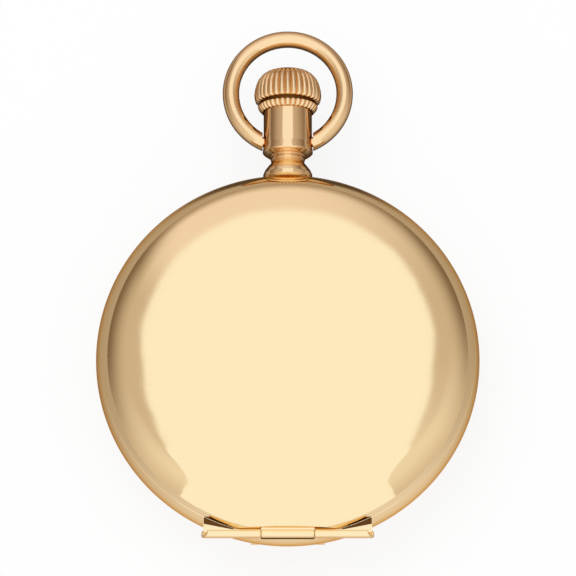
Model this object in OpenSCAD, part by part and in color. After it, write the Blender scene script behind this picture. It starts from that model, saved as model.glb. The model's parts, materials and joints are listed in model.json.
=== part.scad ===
// Full hunter pocket watch, lying on its back: dial side up (+Z), crown toward +Y, hinges toward -Y.
// The origin is the centre of the flat that the back rests on, on the axis of the round case.
// Lengths are for the usual 52 mm case. A larger or smaller case scales them all, apart from its thickness.

/* [Case] */
// Outside diameter of the round case
case_d = 52; // [46:0.5:58]
// Thickness of the closed case
case_h = 15.6; // [15.4:0.1:16.6]
// Rounding radius of the case side
side_r = 5.5; // [5.4:0.1:5.8]
// Radius of the flat that the back cover rests on
back_flat_r = 8; // [6:0.5:10]
// Height of the fixed middle band between the two lids
band_h = 5; // [4.8:0.1:5.2]
// Wall of the front lid and the back cover
lid_wall = 0.55; // [0.45:0.05:0.6]
// Gap between a closed lid and the band
seam_gap = 0.05; // [0.03:0.01:0.08]
// Inside radius of the middle ring, which holds the movement
ring_r = 21.7; // [21.6:0.05:21.8]

/* [Hinges] */
// Distance of the hinge axes from the case axis
hinge_y = 25.05; // [24.95:0.05:25.2]
// Outside radius of the hinge barrels
knuckle_r = 0.6; // [0.55:0.01:0.65]
// Radius of the hinge pins
pin_r = 0.3; // [0.26:0.01:0.34]
// Full length of a hinge
hinge_len = 23.3; // [20:0.1:24]
// Length of the front lid's middle knuckle
lid_knuckle_len = 7.2; // [6:0.1:9]
// Half width over the back cover's two knuckles
back_knuckle_x = 3.8; // [3.4:0.1:4.2]
// Half width of the inner cover's knuckle
cuvette_knuckle_x = 1.6; // [1.4:0.1:2]

/* [Pendant and bow] */
// Radius of the pendant tube under the crown
pendant_r = 3.3; // [3.2:0.05:3.35]
// Radius of the pendant collar
collar_r = 3.44; // [3.4:0.01:3.46]
// Radius at the pendant's narrow neck
neck_r = 2.1; // [1.9:0.05:2.4]
// Height of the pendant's top end along Y
pendant_top_y = 34.9; // [34.7:0.1:35.1]
// Radius of the bow ring, to the middle of its wire
bow_r = 7.78; // [7.6:0.02:8.2]
// Radius of the bow's wire
bow_wire_r = 1.13; // [1:0.01:1.2]
// Half distance between the bow's two end faces
bow_end_x = 3.45; // [3.45:0.01:3.6]
// Radius of the pivots that hold the bow in the pendant
bow_pivot_r = 0.7; // [0.6:0.02:0.8]
// Distance of the bow's pivots from the case axis
bow_pivot_y = 31.05; // [30.95:0.05:31.2]

/* [Crown and stem] */
// Largest radius of the crown
crown_r = 4.57; // [4.4:0.01:4.7]
// Y of the crown's lower edge
crown_base_y = 34.9; // [34.7:0.1:35]
// Height of the crown along Y
crown_h = 6.3; // [6:0.1:6.6]
// Number of grip flutes
flutes = 32; // [28:1:36]
// Depth of a flute
flute_depth = 0.3; // [0.2:0.02:0.4]
// How far the crown can be pressed in to open the lid
crown_press = 0.6; // [0.4:0.05:0.7]
// Radius of the stem in the pendant
stem_r = 0.6; // [0.5:0.02:0.65]
// Radius of the stem's inner end, on which the clutch slides
stem_tip_r = 0.42; // [0.38:0.01:0.46]

/* [Glass, dial and hands] */
// Thickness of the glass
glass_t = 0.5; // [0.4:0.02:0.6]
// Height of the glass's top above the stem axis
glass_top = 6.5; // [6.4:0.05:6.6]
// Inside radius of the bezel, where the dial shows
bezel_open_r = 20.3; // [20:0.1:20.6]
// Thickness of the enamelled dial
dial_t = 0.6; // [0.5:0.02:0.65]
// Radius of the dial
dial_r = 21.4; // [21.2:0.05:21.5]
// Radius of the sunk seconds dial
sub_dial_r = 5; // [4.6:0.1:5.2]
// Length of the minute hand
minute_hand_len = 16.2; // [15:0.1:16.6]
// Length of the hour hand
hour_hand_len = 10.4; // [9:0.1:11.5]
// Length of the seconds hand
seconds_hand_len = 4.2; // [3.6:0.1:4.4]
// Thickness of a hand
hand_t = 0.15; // [0.12:0.01:0.18]

/* [Movement plates] */
// Thickness of the main plate
plate_t = 1.6; // [1.5:0.02:1.66]
// Thickness of the bridges
bridge_t = 1.3; // [1.2:0.02:1.36]
// Space between the main plate and the bridges
pillar_h = 2.4; // [2.38:0.01:2.5]
// Height of the main plate's back face above the stem axis
plate_z = 0.7; // [0.68:0.01:0.76]
// Height of the space for the motion work under the dial
motion_h = 0.8; // [0.78:0.01:0.86]

/* [Going train] */
// Module of the barrel and centre pinion teeth
barrel_m = 0.225; // [0.223:0.001:0.229]
// Module of the centre wheel and third pinion teeth
centre_m = 0.17; // [0.168:0.001:0.173]
// Module of the third wheel and fourth pinion teeth
third_m = 0.15; // [0.149:0.001:0.152]
// Module of the fourth wheel and escape pinion teeth
fourth_m = 0.13; // [0.129:0.001:0.132]
// Distance of the fourth wheel, which carries the seconds hand, from the centre
fourth_x = 11.2; // [11.1:0.05:11.3]
// Radius over the escape wheel's teeth
escape_r = 3.6; // [3.5:0.02:3.64]
// Radius over the balance wheel's rim, without its screws
balance_r = 6.6; // [6.3:0.1:6.7]
// Running clearance of a pivot in its jewel, on the radius
pivot_gap = 0.03; // [0.02:0.005:0.05]

/* [Hidden] */
$fn = 96;

// Case shape, as [radius, height] sections that turn about the case axis
usual_d = 52;
size_k = case_d / usual_d;
height = case_h / size_k;
case_r = usual_d / 2;
z_mid = height / 2;
side_c = [case_r - side_r, z_mid];
side_sag = pow(z_mid, 2) - pow(side_r, 2);
front_dome_r = (pow(side_c.x, 2) + side_sag) / (2 * (z_mid - side_r));
front_dome_c = [0, height - front_dome_r];
front_join_a = atan2(side_c.y - front_dome_c.y, side_c.x);
back_dome_r = (pow(side_c.x - back_flat_r, 2) + side_sag) / (2 * (z_mid - side_r));
back_dome_c = [back_flat_r, back_dome_r];
back_join_a = atan2(side_c.y - back_dome_c.y, side_c.x - back_dome_c.x);
function side_at(z) = side_c.x + sqrt(pow(side_r, 2) - pow(z - z_mid, 2));
function polar(r, a) = [r * cos(a), r * sin(a)];
function arc_points(c, r, a0, a1) = [for (i = [0 : arc_steps]) c + polar(r, a0 + (a1 - a0) * i / arc_steps)];
function along(p, q) = atan2(q.y - p.y, q.x - p.x);

seam_front_z = z_mid + band_h / 2;
seam_back_z = z_mid - band_h / 2;
seam_r = side_at(seam_front_z);
fit = 0.02;            // gap between pieces that are pressed or soldered together
slide_gap = 0.06;      // gap around a piece that slides or turns
barrel_gap = 0.05;     // gap between hinge knuckles
arc_steps = 14;         // straight pieces in a drawn arc
far = 80;              // longer than anything here, for cutting

// Middle ring
rim_t = 0.7;                            // wall of the rims that the bezel and inner cover snap on
rim_r = ring_r + rim_t;
rim_h = 0.9;                            // front rim above the seam
back_rim_h = 0.7;                       // back rim below the seam
rim_top_z = seam_front_z + rim_h;
seat_r = ring_r + 0.3;                  // step that the movement's flange rests on
flange_t = 0.5;
trench = [rim_r + 0.05, seam_r - 1.1];  // trench for the springs, inner and outer radius
trench_z = z_mid + 0.2;
trench_a = [82, 256];

// Hinges
wall_y = hinge_y - knuckle_r - barrel_gap;       // the front lid's straight edge
wall_t = 0.45;
wall_x = 8.6;
back_hinge_y = hinge_y - 0.3;
back_knuckle_r = knuckle_r - 0.1;
back_pin_r = pin_r - 0.05;
back_hinge_x = 5;
web_z = [1, 1.9];                                // depth of a web's two faces from the hinge axis
back_wall_y = back_hinge_y - back_knuckle_r - barrel_gap;
pin_fit = 0.01;
pin_play = 0.03;

// Movement heights
plate_back_z = z_mid + plate_z;
plate_top_z = plate_back_z + plate_t;
dial_z = plate_top_z + motion_h;
dial_top_z = dial_z + dial_t;
bridge_z = plate_back_z - pillar_h;
bridge_back_z = bridge_z - bridge_t;
seat_z = plate_top_z - flange_t;
plate_r = ring_r - 0.15;
bridge_r = plate_r - 0.4;

// Glass and bezel
glass_curve_r = 124.5;
glass_top_z = z_mid + glass_top;
glass_r = bezel_open_r + 0.7;
glass_edge_z = glass_top_z - (glass_curve_r - sqrt(pow(glass_curve_r, 2) - pow(glass_r, 2)));
bezel_r = 23.3;

// Pendant, crown and bow
pendant_foot_y = seam_r + 0.05;
flange_r = 3.36;
plug_r = 1.5;
sleeve_r = 1.1;
crown_cavity_r = pendant_r + 0.12;
crown_cavity_h = pendant_top_y - crown_base_y + crown_press + 0.85;
bow_c_y = bow_pivot_y + sqrt(pow(bow_r, 2) - pow(bow_end_x, 2));
bow_pin_in = 1.1;

// Wheel places
centre_teeth = 80;
centre_leaves = 10;
barrel_teeth = 80;
third_teeth = 75;
third_leaves = 10;
fourth_teeth = 70;
fourth_leaves = 10;
escape_leaves = 7;
escape_teeth = 15;
barrel_p = polar((barrel_teeth + centre_leaves) * barrel_m / 2, 152);
centre_third = (centre_teeth + third_leaves) * centre_m / 2;
third_fourth = (third_teeth + fourth_leaves) * third_m / 2;
third_cos = (pow(centre_third, 2) + pow(fourth_x, 2) - pow(third_fourth, 2)) / (2 * centre_third * fourth_x);
third_a = acos(third_cos);
centre_p = [0, 0];
third_p = polar(centre_third, third_a);
fourth_p = [fourth_x, 0];
escape_p = fourth_p + polar((fourth_teeth + escape_leaves) * fourth_m / 2, -75);
balance_p = [5.6, -11.4];
lever_a = along(escape_p, balance_p);
pallet_p = escape_p + polar(4.3, lever_a);
balance_clear_r = balance_r + 1.1;

// Motion work
motion_m = 0.2;
cannon_teeth = 12;
minute_teeth = 36;
minute_leaves = 10;
hour_teeth = 40;
setting_teeth = 20;
minute_p = polar((cannon_teeth + minute_teeth) * motion_m / 2, 110);
hour_m = 2 * norm(minute_p) / (hour_teeth + minute_leaves);
setting_reach = (minute_teeth + setting_teeth) * motion_m / 2;
setting_p = [0, minute_p.y + sqrt(pow(setting_reach, 2) - pow(minute_p.x, 2))];

// Winding work
winding_teeth = 12;
winding_r = 2.2;
winding_y = [15.1, 16.6];
clutch_y = [12.6, 14.75];
clutch_r = 1.5;
clutch_groove_y = 13.6;
contrate_teeth = 18;
contrate_r = [2.8, 3.6];
crown_wheel_teeth = 32;
ratchet_teeth = 60;
crown_wheel_p = [0, (winding_y[0] + winding_y[1]) / 2 - 3.2];
ratchet_m = 2 * norm(barrel_p - crown_wheel_p) / (crown_wheel_teeth + ratchet_teeth);
lever_pin_y = 17.55;
setting_lever_p = [3.4, lever_pin_y];
clutch_lever_p = [-4.6, clutch_groove_y];
click_a = 250;
wheel_z = bridge_back_z - 0.05;
wheel_t = 0.45;

// Phase that a wheel needs to mesh with the driver that it follows, at angle a from the driver
function mesh(n_driver, phase, a, n) = a + 180 - (phase - a) * n_driver / n + 180 / n;
centre_phase = along(centre_p, third_p);
barrel_phase = mesh(centre_leaves, 0, along(centre_p, barrel_p), barrel_teeth);
third_leaf_phase = mesh(centre_teeth, centre_phase, along(centre_p, third_p), third_leaves);
third_phase = along(third_p, fourth_p);
fourth_leaf_phase = mesh(third_teeth, third_phase, third_phase, fourth_leaves);
fourth_phase = along(fourth_p, escape_p);
escape_leaf_phase = mesh(fourth_teeth, fourth_phase, fourth_phase, escape_leaves);
cannon_phase = along(centre_p, minute_p);
minute_phase = mesh(cannon_teeth, cannon_phase, cannon_phase, minute_teeth);
minute_leaf_phase = 0;
hour_phase = mesh(minute_leaves, minute_leaf_phase, along(minute_p, centre_p), hour_teeth);
setting_phase = mesh(minute_teeth, minute_phase, along(minute_p, setting_p), setting_teeth);
crown_wheel_phase = along(crown_wheel_p, barrel_p);
ratchet_phase = mesh(crown_wheel_teeth, crown_wheel_phase, crown_wheel_phase, ratchet_teeth);

// Feet of the bridges, at these angles and this distance from the centre
foot_r = 1.4;
foot_d = 19.4;
barrel_feet = [for (a = [78.5, 112, 176, 207, 237]) polar(foot_d, a)];
train_feet = [for (a = [50, 4, -34]) polar(foot_d, a)];
cock_foot_p = polar(18.5, -105);
cock_foot_r = 2.2;
pallet_feet = [for (s = [-1, 1]) pallet_p + polar(4, lever_a + s * 90)];
case_screw_a = [198, -18];
case_screw_d = 21.05;
pivot_r = 0.12;
jewel_r = 0.85;
jewel_t = 0.4;
screw_shank_r = 0.42;
screw_head_r = 0.85;
screw_head_h = 0.4;
pallet_screw_r = 0.3;
pallet_head_r = 0.58;
pallet_head_h = 0.2;

// Springs of the lids, in the trench
lift_a = 200;
catch_a = 150;
spring_screw_d = (trench[0] + trench[1]) / 2;
spring_r = bezel_r + 0.2;
lip_r = 23.95;
lip_t = 0.22;

// Inner cover
cuvette_gap = 0.3;
cuvette_t = 0.4;

// Pivots and pipes of the movement
pendant_bore_x = 2.25;
hour_hand_z = dial_top_z + 0.25;
minute_hand_z = hour_hand_z + 0.4;
cannon_pipe_r = 0.75;
hour_pipe_r = 1.15;
centre_post_r = 0.4;
centre_pivot_r = 0.35;
barrel_core_r = 0.9;
barrel_pivot_r = 0.5;
barrel_drum_r = 8.6;
ratchet_tip_r = ratchet_m * ratchet_teeth / 2 + 0.9 * ratchet_m;
click_p = barrel_p + polar(ratchet_tip_r + 1.35, click_a);
click_spring_p = click_p + polar(3.4, click_a + 70);
split_x = 2.4;

// Balance and its cock
balance_z = bridge_z - 0.9;
cock_z = bridge_back_z;
cock_t = 0.8;
hairspring_r = 3.4;
stud_p = balance_p + polar(hairspring_r + 0.42, along(balance_p, cock_foot_p));

module at(p) { translate([p.x, p.y, 0]) children(); }

module disc(z0, z1, r) { translate([0, 0, z0]) cylinder(h = z1 - z0, r = r); }

module pipe(z0, z1, r, bore) {
    difference() {
        disc(z0, z1, r);
        disc(z0 - 1, z1 + 1, bore);
    }
}

// Turns a [radius, y] section about the stem's axis
module along_stem() { translate([0, 0, z_mid]) rotate([-90, 0, 0]) children(); }

module stem_disc(y0, y1, r) { along_stem() disc(y0, y1, r); }

// Extrudes a [y, z] section from x0 to x1
module across(x0, x1) {
    translate([x0, 0, 0]) rotate([90, 0, 90]) linear_extrude(x1 - x0) children();
}

module arc_strip(r0, r1, a0, a1, z0, z1) {
    rotate([0, 0, a0]) rotate_extrude(angle = a1 - a0)
        translate([r0, z0]) square([r1 - r0, z1 - z0]);
}

module link(p, q, rp, rq) {
    hull() {
        translate(p) circle(rp, $fn = 32);
        translate(q) circle(rq, $fn = 32);
    }
}

// Sector of a ring about c between two angles, at most a quarter turn
module ring_sector(c, r, t, a0, a1) {
    reach = r / cos((a1 - a0) / 2) + 1;
    translate(c) intersection() {
        difference() {
            circle(r);
            circle(r - t);
        }
        polygon([[0, 0], polar(reach, a0), polar(reach, a1)]);
    }
}

module above(z) { translate([0, z]) square([far, far]); }
module below(z) { translate([0, z - far]) square([far, far]); }

// Solid section inside the case's outer surface, inset by d
module case_section(d) {
    r = side_r - d;
    intersection() {
        translate(side_c) circle(r);
        translate([side_c.x, 0]) square([far, far]);
    }
    translate([0, side_c.y - r]) square([side_c.x, 2 * r]);
}

// Shell of thickness lid_wall over the front, down to height z
module front_shell(z) {
    ring_sector(front_dome_c, front_dome_r, lid_wall, front_join_a, 90);
    intersection() {
        ring_sector(side_c, side_r, lid_wall, 0, front_join_a);
        above(z);
    }
}

// Outline of the back, inset by d, from the edge of its flat up to height z
function back_curve(d, z) = concat(
    arc_points(back_dome_c, back_dome_r - d, -90, back_join_a),
    arc_points(side_c, side_r - d, back_join_a, asin((z - z_mid) / (side_r - d)))
);

module back_shell(z) {
    inner = back_curve(lid_wall, z);
    back_again = [for (i = [len(inner) - 1 : -1 : 0]) inner[i]];
    polygon(concat([[0, 0]], back_curve(0, z), back_again, [[0, lid_wall]]));
}

// Gear outline with a tooth centred at the phase angle
module gear(n, m, phase, root_w = 0.24, tip_w = 0.1) {
    tip = m * n / 2 + 0.9 * m;
    root = m * n / 2 - 1.15 * m;
    rotate(phase) polygon([
        for (i = [0 : n - 1]) each [
            polar(root, (i - root_w) * 360 / n), polar(tip, (i - tip_w) * 360 / n),
            polar(tip, (i + tip_w) * 360 / n), polar(root, (i + root_w) * 360 / n)
        ]
    ]);
}

module windows(hub_r, inner_r, arms, arm_w) {
    difference() {
        circle(inner_r);
        circle(hub_r);
        for (i = [0 : arms - 1]) rotate(i * 360 / arms)
            translate([0, -arm_w / 2]) square([inner_r + 1, arm_w]);
    }
}

module wheel(n, m, phase, z0, z1, bore, arms = 5) {
    rim = m * n / 2 - 1.15 * m - 0.55;
    translate([0, 0, z0]) linear_extrude(z1 - z0) difference() {
        gear(n, m, phase);
        windows(1.1, rim, arms, 0.55);
        circle(bore);
    }
}

module pinion(n, m, phase, z0, z1) {
    translate([0, 0, z0]) linear_extrude(z1 - z0) gear(n, m, phase, 0.2, 0.09);
}

// Arbor between the bridge and the plate, with a pivot at each end
module arbor(r, z_low, z_high) {
    disc(z_low + 0.05, z_high - 0.05, r);
    disc(z_low - jewel_t, z_high + plate_t - 0.05, pivot_r);
}

module jewel(z0) { pipe(z0, z0 + jewel_t, jewel_r, pivot_r + pivot_gap); }

module jewel_hole_plate() {
    disc(plate_top_z - jewel_t, plate_top_z + 1, jewel_r + fit / 2);
    disc(plate_back_z - 1, plate_top_z, 3 * pivot_r);
}

module jewel_hole_bridge() {
    disc(bridge_back_z - 1, bridge_back_z + jewel_t, jewel_r + fit / 2);
    disc(bridge_back_z, bridge_z + 1, 3 * pivot_r);
}

module screw_hole(z_face) {
    disc(z_face - 1, z_face + screw_head_h, screw_head_r + fit);
    disc(z_face - 1, plate_top_z - 0.2, screw_shank_r + fit);
}

// Screw whose slotted head faces the back, with its head in from z_face
module back_screw(z_face, length, r = screw_head_r, shank = screw_shank_r, head_h = screw_head_h) {
    difference() {
        union() {
            disc(z_face, z_face + head_h, r);
            disc(z_face, z_face + length, shank);
        }
        translate([-r - 1, -0.08, z_face - 1]) cube([2 * r + 2, 0.16, 1.15]);
    }
}

module hinge_barrel(y, z, r, x0, x1) {
    across(x0, x1) translate([-y, z]) circle(r);
}

// Web that carries the ring's knuckles, sunk below the seam between them and the ring
module ring_web(y, z, r, x0, x1, dir) {
    across(x0, x1) polygon([
        [-y - r * 0.97, z], [-y + r * 0.97, z], [-y + r * 0.97, z - dir * web_z[0]],
        [-rim_r, z - dir * web_z[0]], [-rim_r, z - dir * web_z[1]], [-y + r, z - dir * web_z[1]],
        [-y - r * 0.55, z - dir * 1.1]
    ]);
}

// Leaf behind a front knuckle, on the side s of the hinge's middle: it follows the lid's round edge
module hinge_leaf(s) {
    x0 = 6.5;
    x1 = hinge_len / 2 - 0.05;
    gap_y = hinge_y - 0.45;
    translate([0, 0, seam_front_z - 1.1]) linear_extrude(1.5) polygon([
        [s * x0, -hinge_y], [s * x1, -hinge_y], [s * x1, -gap_y + 1.5],
        [s * (x0 + 1), -gap_y], [s * x0, -gap_y]
    ]);
}

module case_centre() {
    front_x = lid_knuckle_len / 2 + barrel_gap;
    back_x = back_knuckle_x + barrel_gap;
    color("#d8ab68") difference() {
        union() {
            rotate_extrude() difference() {
                union() {
                    intersection() {
                        case_section(0);
                        translate([ring_r, seam_back_z + seam_gap / 2])
                            square([far, band_h - seam_gap]);
                    }
                    translate([ring_r, seam_back_z - back_rim_h])
                        square([rim_t, rim_top_z - seam_back_z + back_rim_h]);
                }
                translate([0, seat_z]) square([seat_r, far]);
            }
            for (s = [-1, 1]) {
                x0 = s > 0 ? front_x : -hinge_len / 2;
                hinge_barrel(hinge_y, seam_front_z, knuckle_r, x0, x0 + hinge_len / 2 - front_x);
                ring_web(hinge_y, seam_front_z, knuckle_r, x0, x0 + hinge_len / 2 - front_x, 1);
                hinge_leaf(s);
                b0 = s > 0 ? back_x : -back_hinge_x;
                hinge_barrel(back_hinge_y, seam_back_z, back_knuckle_r, b0, b0 + back_hinge_x - back_x);
                ring_web(back_hinge_y, seam_back_z, back_knuckle_r, b0, b0 + back_hinge_x - back_x, -1);
            }
        }
        hinge_barrel(hinge_y, seam_front_z, knuckle_r + 2 * barrel_gap, -front_x, front_x);
        hinge_barrel(back_hinge_y, seam_back_z, back_knuckle_r + 2 * barrel_gap, -back_x, back_x);
        hinge_barrel(hinge_y, seam_front_z, pin_r + pin_fit, -far, far);
        hinge_barrel(back_hinge_y, seam_back_z, back_pin_r + pin_fit, -far, far);
        arc_strip(trench[0], trench[1], trench_a[0], trench_a[1], trench_z, seam_front_z + 1);
        stem_disc(0, far, plug_r + fit);
        for (a = [lift_a, catch_a]) at(polar(spring_screw_d, a)) disc(trench_z - 1.5, far, 0.4 + pin_fit);
        for (a = case_screw_a) at(polar(case_screw_d, a)) disc(-1, plate_back_z, screw_head_r + 0.15);
    }
}

module lid_wall_plate(y, x, z0, z1) {
    translate([-x, -y, z0]) cube([2 * x, wall_t, z1 - z0]);
}

module front_lid() {
    z0 = seam_front_z + seam_gap / 2;
    x = lid_knuckle_len / 2;
    color("#e0b56f") difference() {
        union() {
            difference() {
                rotate_extrude() {
                    front_shell(z0);
                    translate([lip_r, z0]) square([side_at(z0) - lip_r - lid_wall / 2, lip_t]);
                }
                translate([-far, -far - wall_y, 0]) cube([2 * far, far, far]);
            }
            intersection() {
                rotate_extrude() intersection() {
                    case_section(0);
                    above(z0);
                }
                lid_wall_plate(wall_y, wall_x, z0, z_mid + side_r);
            }
            across(-x, x) polygon([
                [-hinge_y, seam_front_z + 0.4], [-wall_y + wall_t / 2, seam_front_z + 0.6],
                [-wall_y + wall_t / 2, z0], [-hinge_y, z0]
            ]);
            hinge_barrel(hinge_y, seam_front_z, knuckle_r, -x, x);
        }
        translate([-wall_x, wall_t - wall_y, 0]) cube([2 * wall_x, 2, z0 + lip_t + 0.05]);
        hinge_barrel(hinge_y, seam_front_z, pin_r + pin_play, -far, far);
    }
}

module front_hinge_pin() {
    color("#b98a4c") across(-hinge_len / 2 + 0.3, hinge_len / 2 - 0.3)
        translate([-hinge_y, seam_front_z]) circle(pin_r);
}

module back_hinge_pin() {
    color("#b98a4c") across(-back_hinge_x + 0.2, back_hinge_x - 0.2)
        translate([-back_hinge_y, seam_back_z]) circle(back_pin_r);
}

module back_cover() {
    z0 = seam_back_z - seam_gap / 2;
    x = back_knuckle_x;
    x_in = cuvette_knuckle_x + barrel_gap;
    color("#d8ab68") difference() {
        union() {
            difference() {
                union() {
                    rotate_extrude() back_shell(z0);
                    intersection() {
                        rotate_extrude() intersection() {
                            case_section(lid_wall / 2);
                            below(z0);
                        }
                        lid_wall_plate(back_wall_y, wall_x, z_mid - side_r, z0);
                    }
                }
                translate([-x - 0.5, -far - back_hinge_y + 0.15, 0]) cube([2 * x + 1, far, far]);
            }
            for (s = [-1, 1]) {
                x0 = s > 0 ? x_in : -x;
                across(x0, x0 + x - x_in) polygon([
                    [-back_hinge_y, seam_back_z - back_knuckle_r],
                    [-back_wall_y + wall_t / 2, seam_back_z - 1.1],
                    [-back_wall_y + wall_t / 2, z0], [-back_hinge_y, z0]
                ]);
                hinge_barrel(back_hinge_y, seam_back_z, back_knuckle_r, x0, x0 + x - x_in);
            }
        }
        for (s = [-1, 1]) translate([s > 0 ? x : -back_hinge_x - barrel_gap, -far - back_wall_y, z0 - far])
            cube([back_hinge_x + barrel_gap - x, far, far]);
        translate([-back_hinge_x, -far - back_hinge_y - back_knuckle_r, 0])
            cube([2 * back_hinge_x, far, far]);
        translate([-x_in, -back_hinge_y - 1, seam_back_z - 1.05]) cube([2 * x_in, 2.5, far]);
        hinge_barrel(back_hinge_y, seam_back_z, back_pin_r + pin_play, -far, far);
    }
}

module cuvette() {
    r = back_dome_r - lid_wall - cuvette_gap;
    skirt = [rim_r + barrel_gap, rim_r + 0.85];
    dish_a = -acos((skirt[1] - back_flat_r) / r);
    skirt_z = back_dome_c.y - sqrt(pow(r, 2) - pow(skirt[1] - back_flat_r, 2));
    color("#e2bd7c") difference() {
        union() {
            rotate_extrude() {
                translate([0, back_dome_c.y - r]) square([back_flat_r, cuvette_t]);
                ring_sector(back_dome_c, r, cuvette_t, -90, dish_a);
                translate([skirt[0], skirt_z + 0.1])
                    square([skirt[1] - skirt[0], seam_back_z - slide_gap - skirt_z - 0.1]);
            }
            across(-cuvette_knuckle_x, cuvette_knuckle_x) polygon([
                [-back_hinge_y, seam_back_z - 0.42], [-skirt[0] - 0.2, seam_back_z - 0.9],
                [-skirt[0] - 0.2, seam_back_z - slide_gap], [-back_hinge_y, seam_back_z - slide_gap]
            ]);
            hinge_barrel(back_hinge_y, seam_back_z, back_knuckle_r, -cuvette_knuckle_x, cuvette_knuckle_x);
        }
        hinge_barrel(back_hinge_y, seam_back_z, back_pin_r + pin_play, -far, far);
    }
}

module bezel() {
    glass_seat_r = glass_r + fit;
    floor_z = glass_edge_z - glass_t - fit;
    color("#d8ab68") difference() {
        rotate_extrude() polygon([
            [rim_r + fit, seam_front_z + slide_gap], [bezel_r, seam_front_z + slide_gap],
            [bezel_r, rim_top_z + 0.1], [bezel_r - 0.75, rim_top_z + 0.75],
            [glass_seat_r + 0.55, glass_edge_z - 0.1], [glass_seat_r, glass_edge_z + 0.02],
            [glass_seat_r, floor_z], [bezel_open_r, floor_z], [bezel_open_r, floor_z - 0.25],
            [bezel_open_r + 0.4, floor_z - 0.4], [rim_r - 0.5, floor_z - 0.4],
            [rim_r - 0.5, rim_top_z], [rim_r + fit, rim_top_z]
        ]);
        arc_strip(bezel_r - 0.4, bezel_r + 1, 82, 98, seam_front_z, far);
    }
}

module crystal() {
    color([0.9, 0.95, 1, 0.35]) rotate_extrude() intersection() {
        ring_sector([0, glass_top_z - glass_curve_r], glass_curve_r, glass_t,
                    acos((glass_r + 1) / glass_curve_r), 90);
        square([glass_r, far]);
    }
}

module pendant() {
    color("#d0a05a") difference() {
        union() {
            along_stem() rotate_extrude() polygon([
                [0, pendant_foot_y], [flange_r - 0.3, pendant_foot_y], [flange_r, pendant_foot_y + 0.3],
                [flange_r, pendant_foot_y + 0.85], [flange_r - 0.2, pendant_foot_y + 1.35],
                [flange_r - 0.6, pendant_foot_y + 1.9], [neck_r + 0.3, pendant_foot_y + 2.35],
                [neck_r, pendant_foot_y + 2.7], [neck_r + 0.25, pendant_foot_y + 2.85],
                [neck_r + 0.25, pendant_foot_y + 3.05], [neck_r + 0.05, pendant_foot_y + 3.2],
                [neck_r + 0.35, pendant_foot_y + 3.35], [neck_r + 0.35, pendant_foot_y + 3.5],
                [collar_r - 0.65, pendant_foot_y + 3.58], [collar_r - 0.3, pendant_foot_y + 3.7],
                [collar_r - 0.07, pendant_foot_y + 3.85], [collar_r, pendant_foot_y + 4.0],
                [collar_r, pendant_foot_y + 4.15], [pendant_r, pendant_foot_y + 4.5],
                [pendant_r, pendant_top_y - 0.2], [pendant_r - 0.2, pendant_top_y], [0, pendant_top_y]
            ]);
            stem_disc(ring_r + 0.1, pendant_foot_y + 1, plug_r);
        }
        difference() {
            rotate_extrude() intersection() {
                case_section(-fit);
                translate([0, seam_back_z]) square([far, band_h]);
            }
            stem_disc(0, far, plug_r);
        }
        stem_disc(0, far, sleeve_r + fit);
        stem_disc(bow_pivot_y + 0.9, far, 2.2);
        across(-far, -pendant_bore_x) translate([bow_pivot_y, z_mid]) circle(bow_pivot_r + pin_play);
        across(pendant_bore_x, far) translate([bow_pivot_y, z_mid]) circle(bow_pivot_r + pin_play);
    }
}

module bow() {
    color("#c9975a") {
        difference() {
            translate([0, bow_c_y, z_mid]) rotate_extrude() translate([bow_r, 0]) circle(bow_wire_r);
            translate([-bow_end_x, 0, 0]) cube([2 * bow_end_x, bow_c_y, 2 * z_mid]);
        }
        for (s = [-1, 1]) across(s > 0 ? bow_end_x - bow_pin_in : -bow_end_x - 0.6,
                                 s > 0 ? bow_end_x + 0.6 : bow_pin_in - bow_end_x)
            translate([bow_pivot_y, z_mid]) circle(bow_pivot_r);
    }
}

module crown() {
    under_r = crown_cavity_r + 0.25;
    color("#c98f4a") difference() {
        intersection() {
            along_stem() rotate_extrude() polygon([
                [0, crown_base_y], [under_r, crown_base_y], [crown_r - 0.15, crown_base_y + 1.55],
                [crown_r - 0.1, crown_base_y + 1.75], [crown_r, crown_base_y + 2.1],
                [crown_r, crown_base_y + crown_h - 2.9], [crown_r - 0.15, crown_base_y + crown_h - 2.05],
                [crown_r - 0.65, crown_base_y + crown_h - 1.15],
                [crown_r - 1.4, crown_base_y + crown_h - 0.5],
                [crown_r - 2.6, crown_base_y + crown_h - 0.15], [0, crown_base_y + crown_h]
            ]);
            along_stem() linear_extrude(far) polygon([
                for (i = [0 : flutes - 1]) each [
                    polar(crown_r, (i - 0.28) * 360 / flutes), polar(crown_r + 0.05, i * 360 / flutes),
                    polar(crown_r, (i + 0.28) * 360 / flutes),
                    polar(crown_r - flute_depth, (i + 0.5) * 360 / flutes)
                ]
            ]);
        }
        stem_disc(0, crown_base_y + crown_cavity_h, crown_cavity_r);
        stem_disc(0, crown_base_y + 4, stem_r + fit / 2);
    }
}

module stem() {
    groove = 0.25 + 0.2;
    color("silver") difference() {
        union() {
            stem_disc(winding_y[1] + 0.1, crown_base_y + 3.9, stem_r);
            stem_disc(setting_p.y + 1.2, winding_y[1] + 0.2, stem_tip_r);
        }
        along_stem() pipe(lever_pin_y - groove, lever_pin_y + groove, stem_r + 1, stem_tip_r - 0.04);
    }
}

module stem_sleeve() {
    color("#8f8f94") along_stem() pipe(ring_r + 0.3, bow_pivot_y + 0.85, sleeve_r, stem_r + slide_gap);
}

// Foot of a spring in the trench, bored for its screw
module spring_foot(a) {
    at(polar(spring_screw_d, a)) pipe(trench_z + 0.15, seam_front_z - 0.6, 0.75, 0.5);
}

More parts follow.
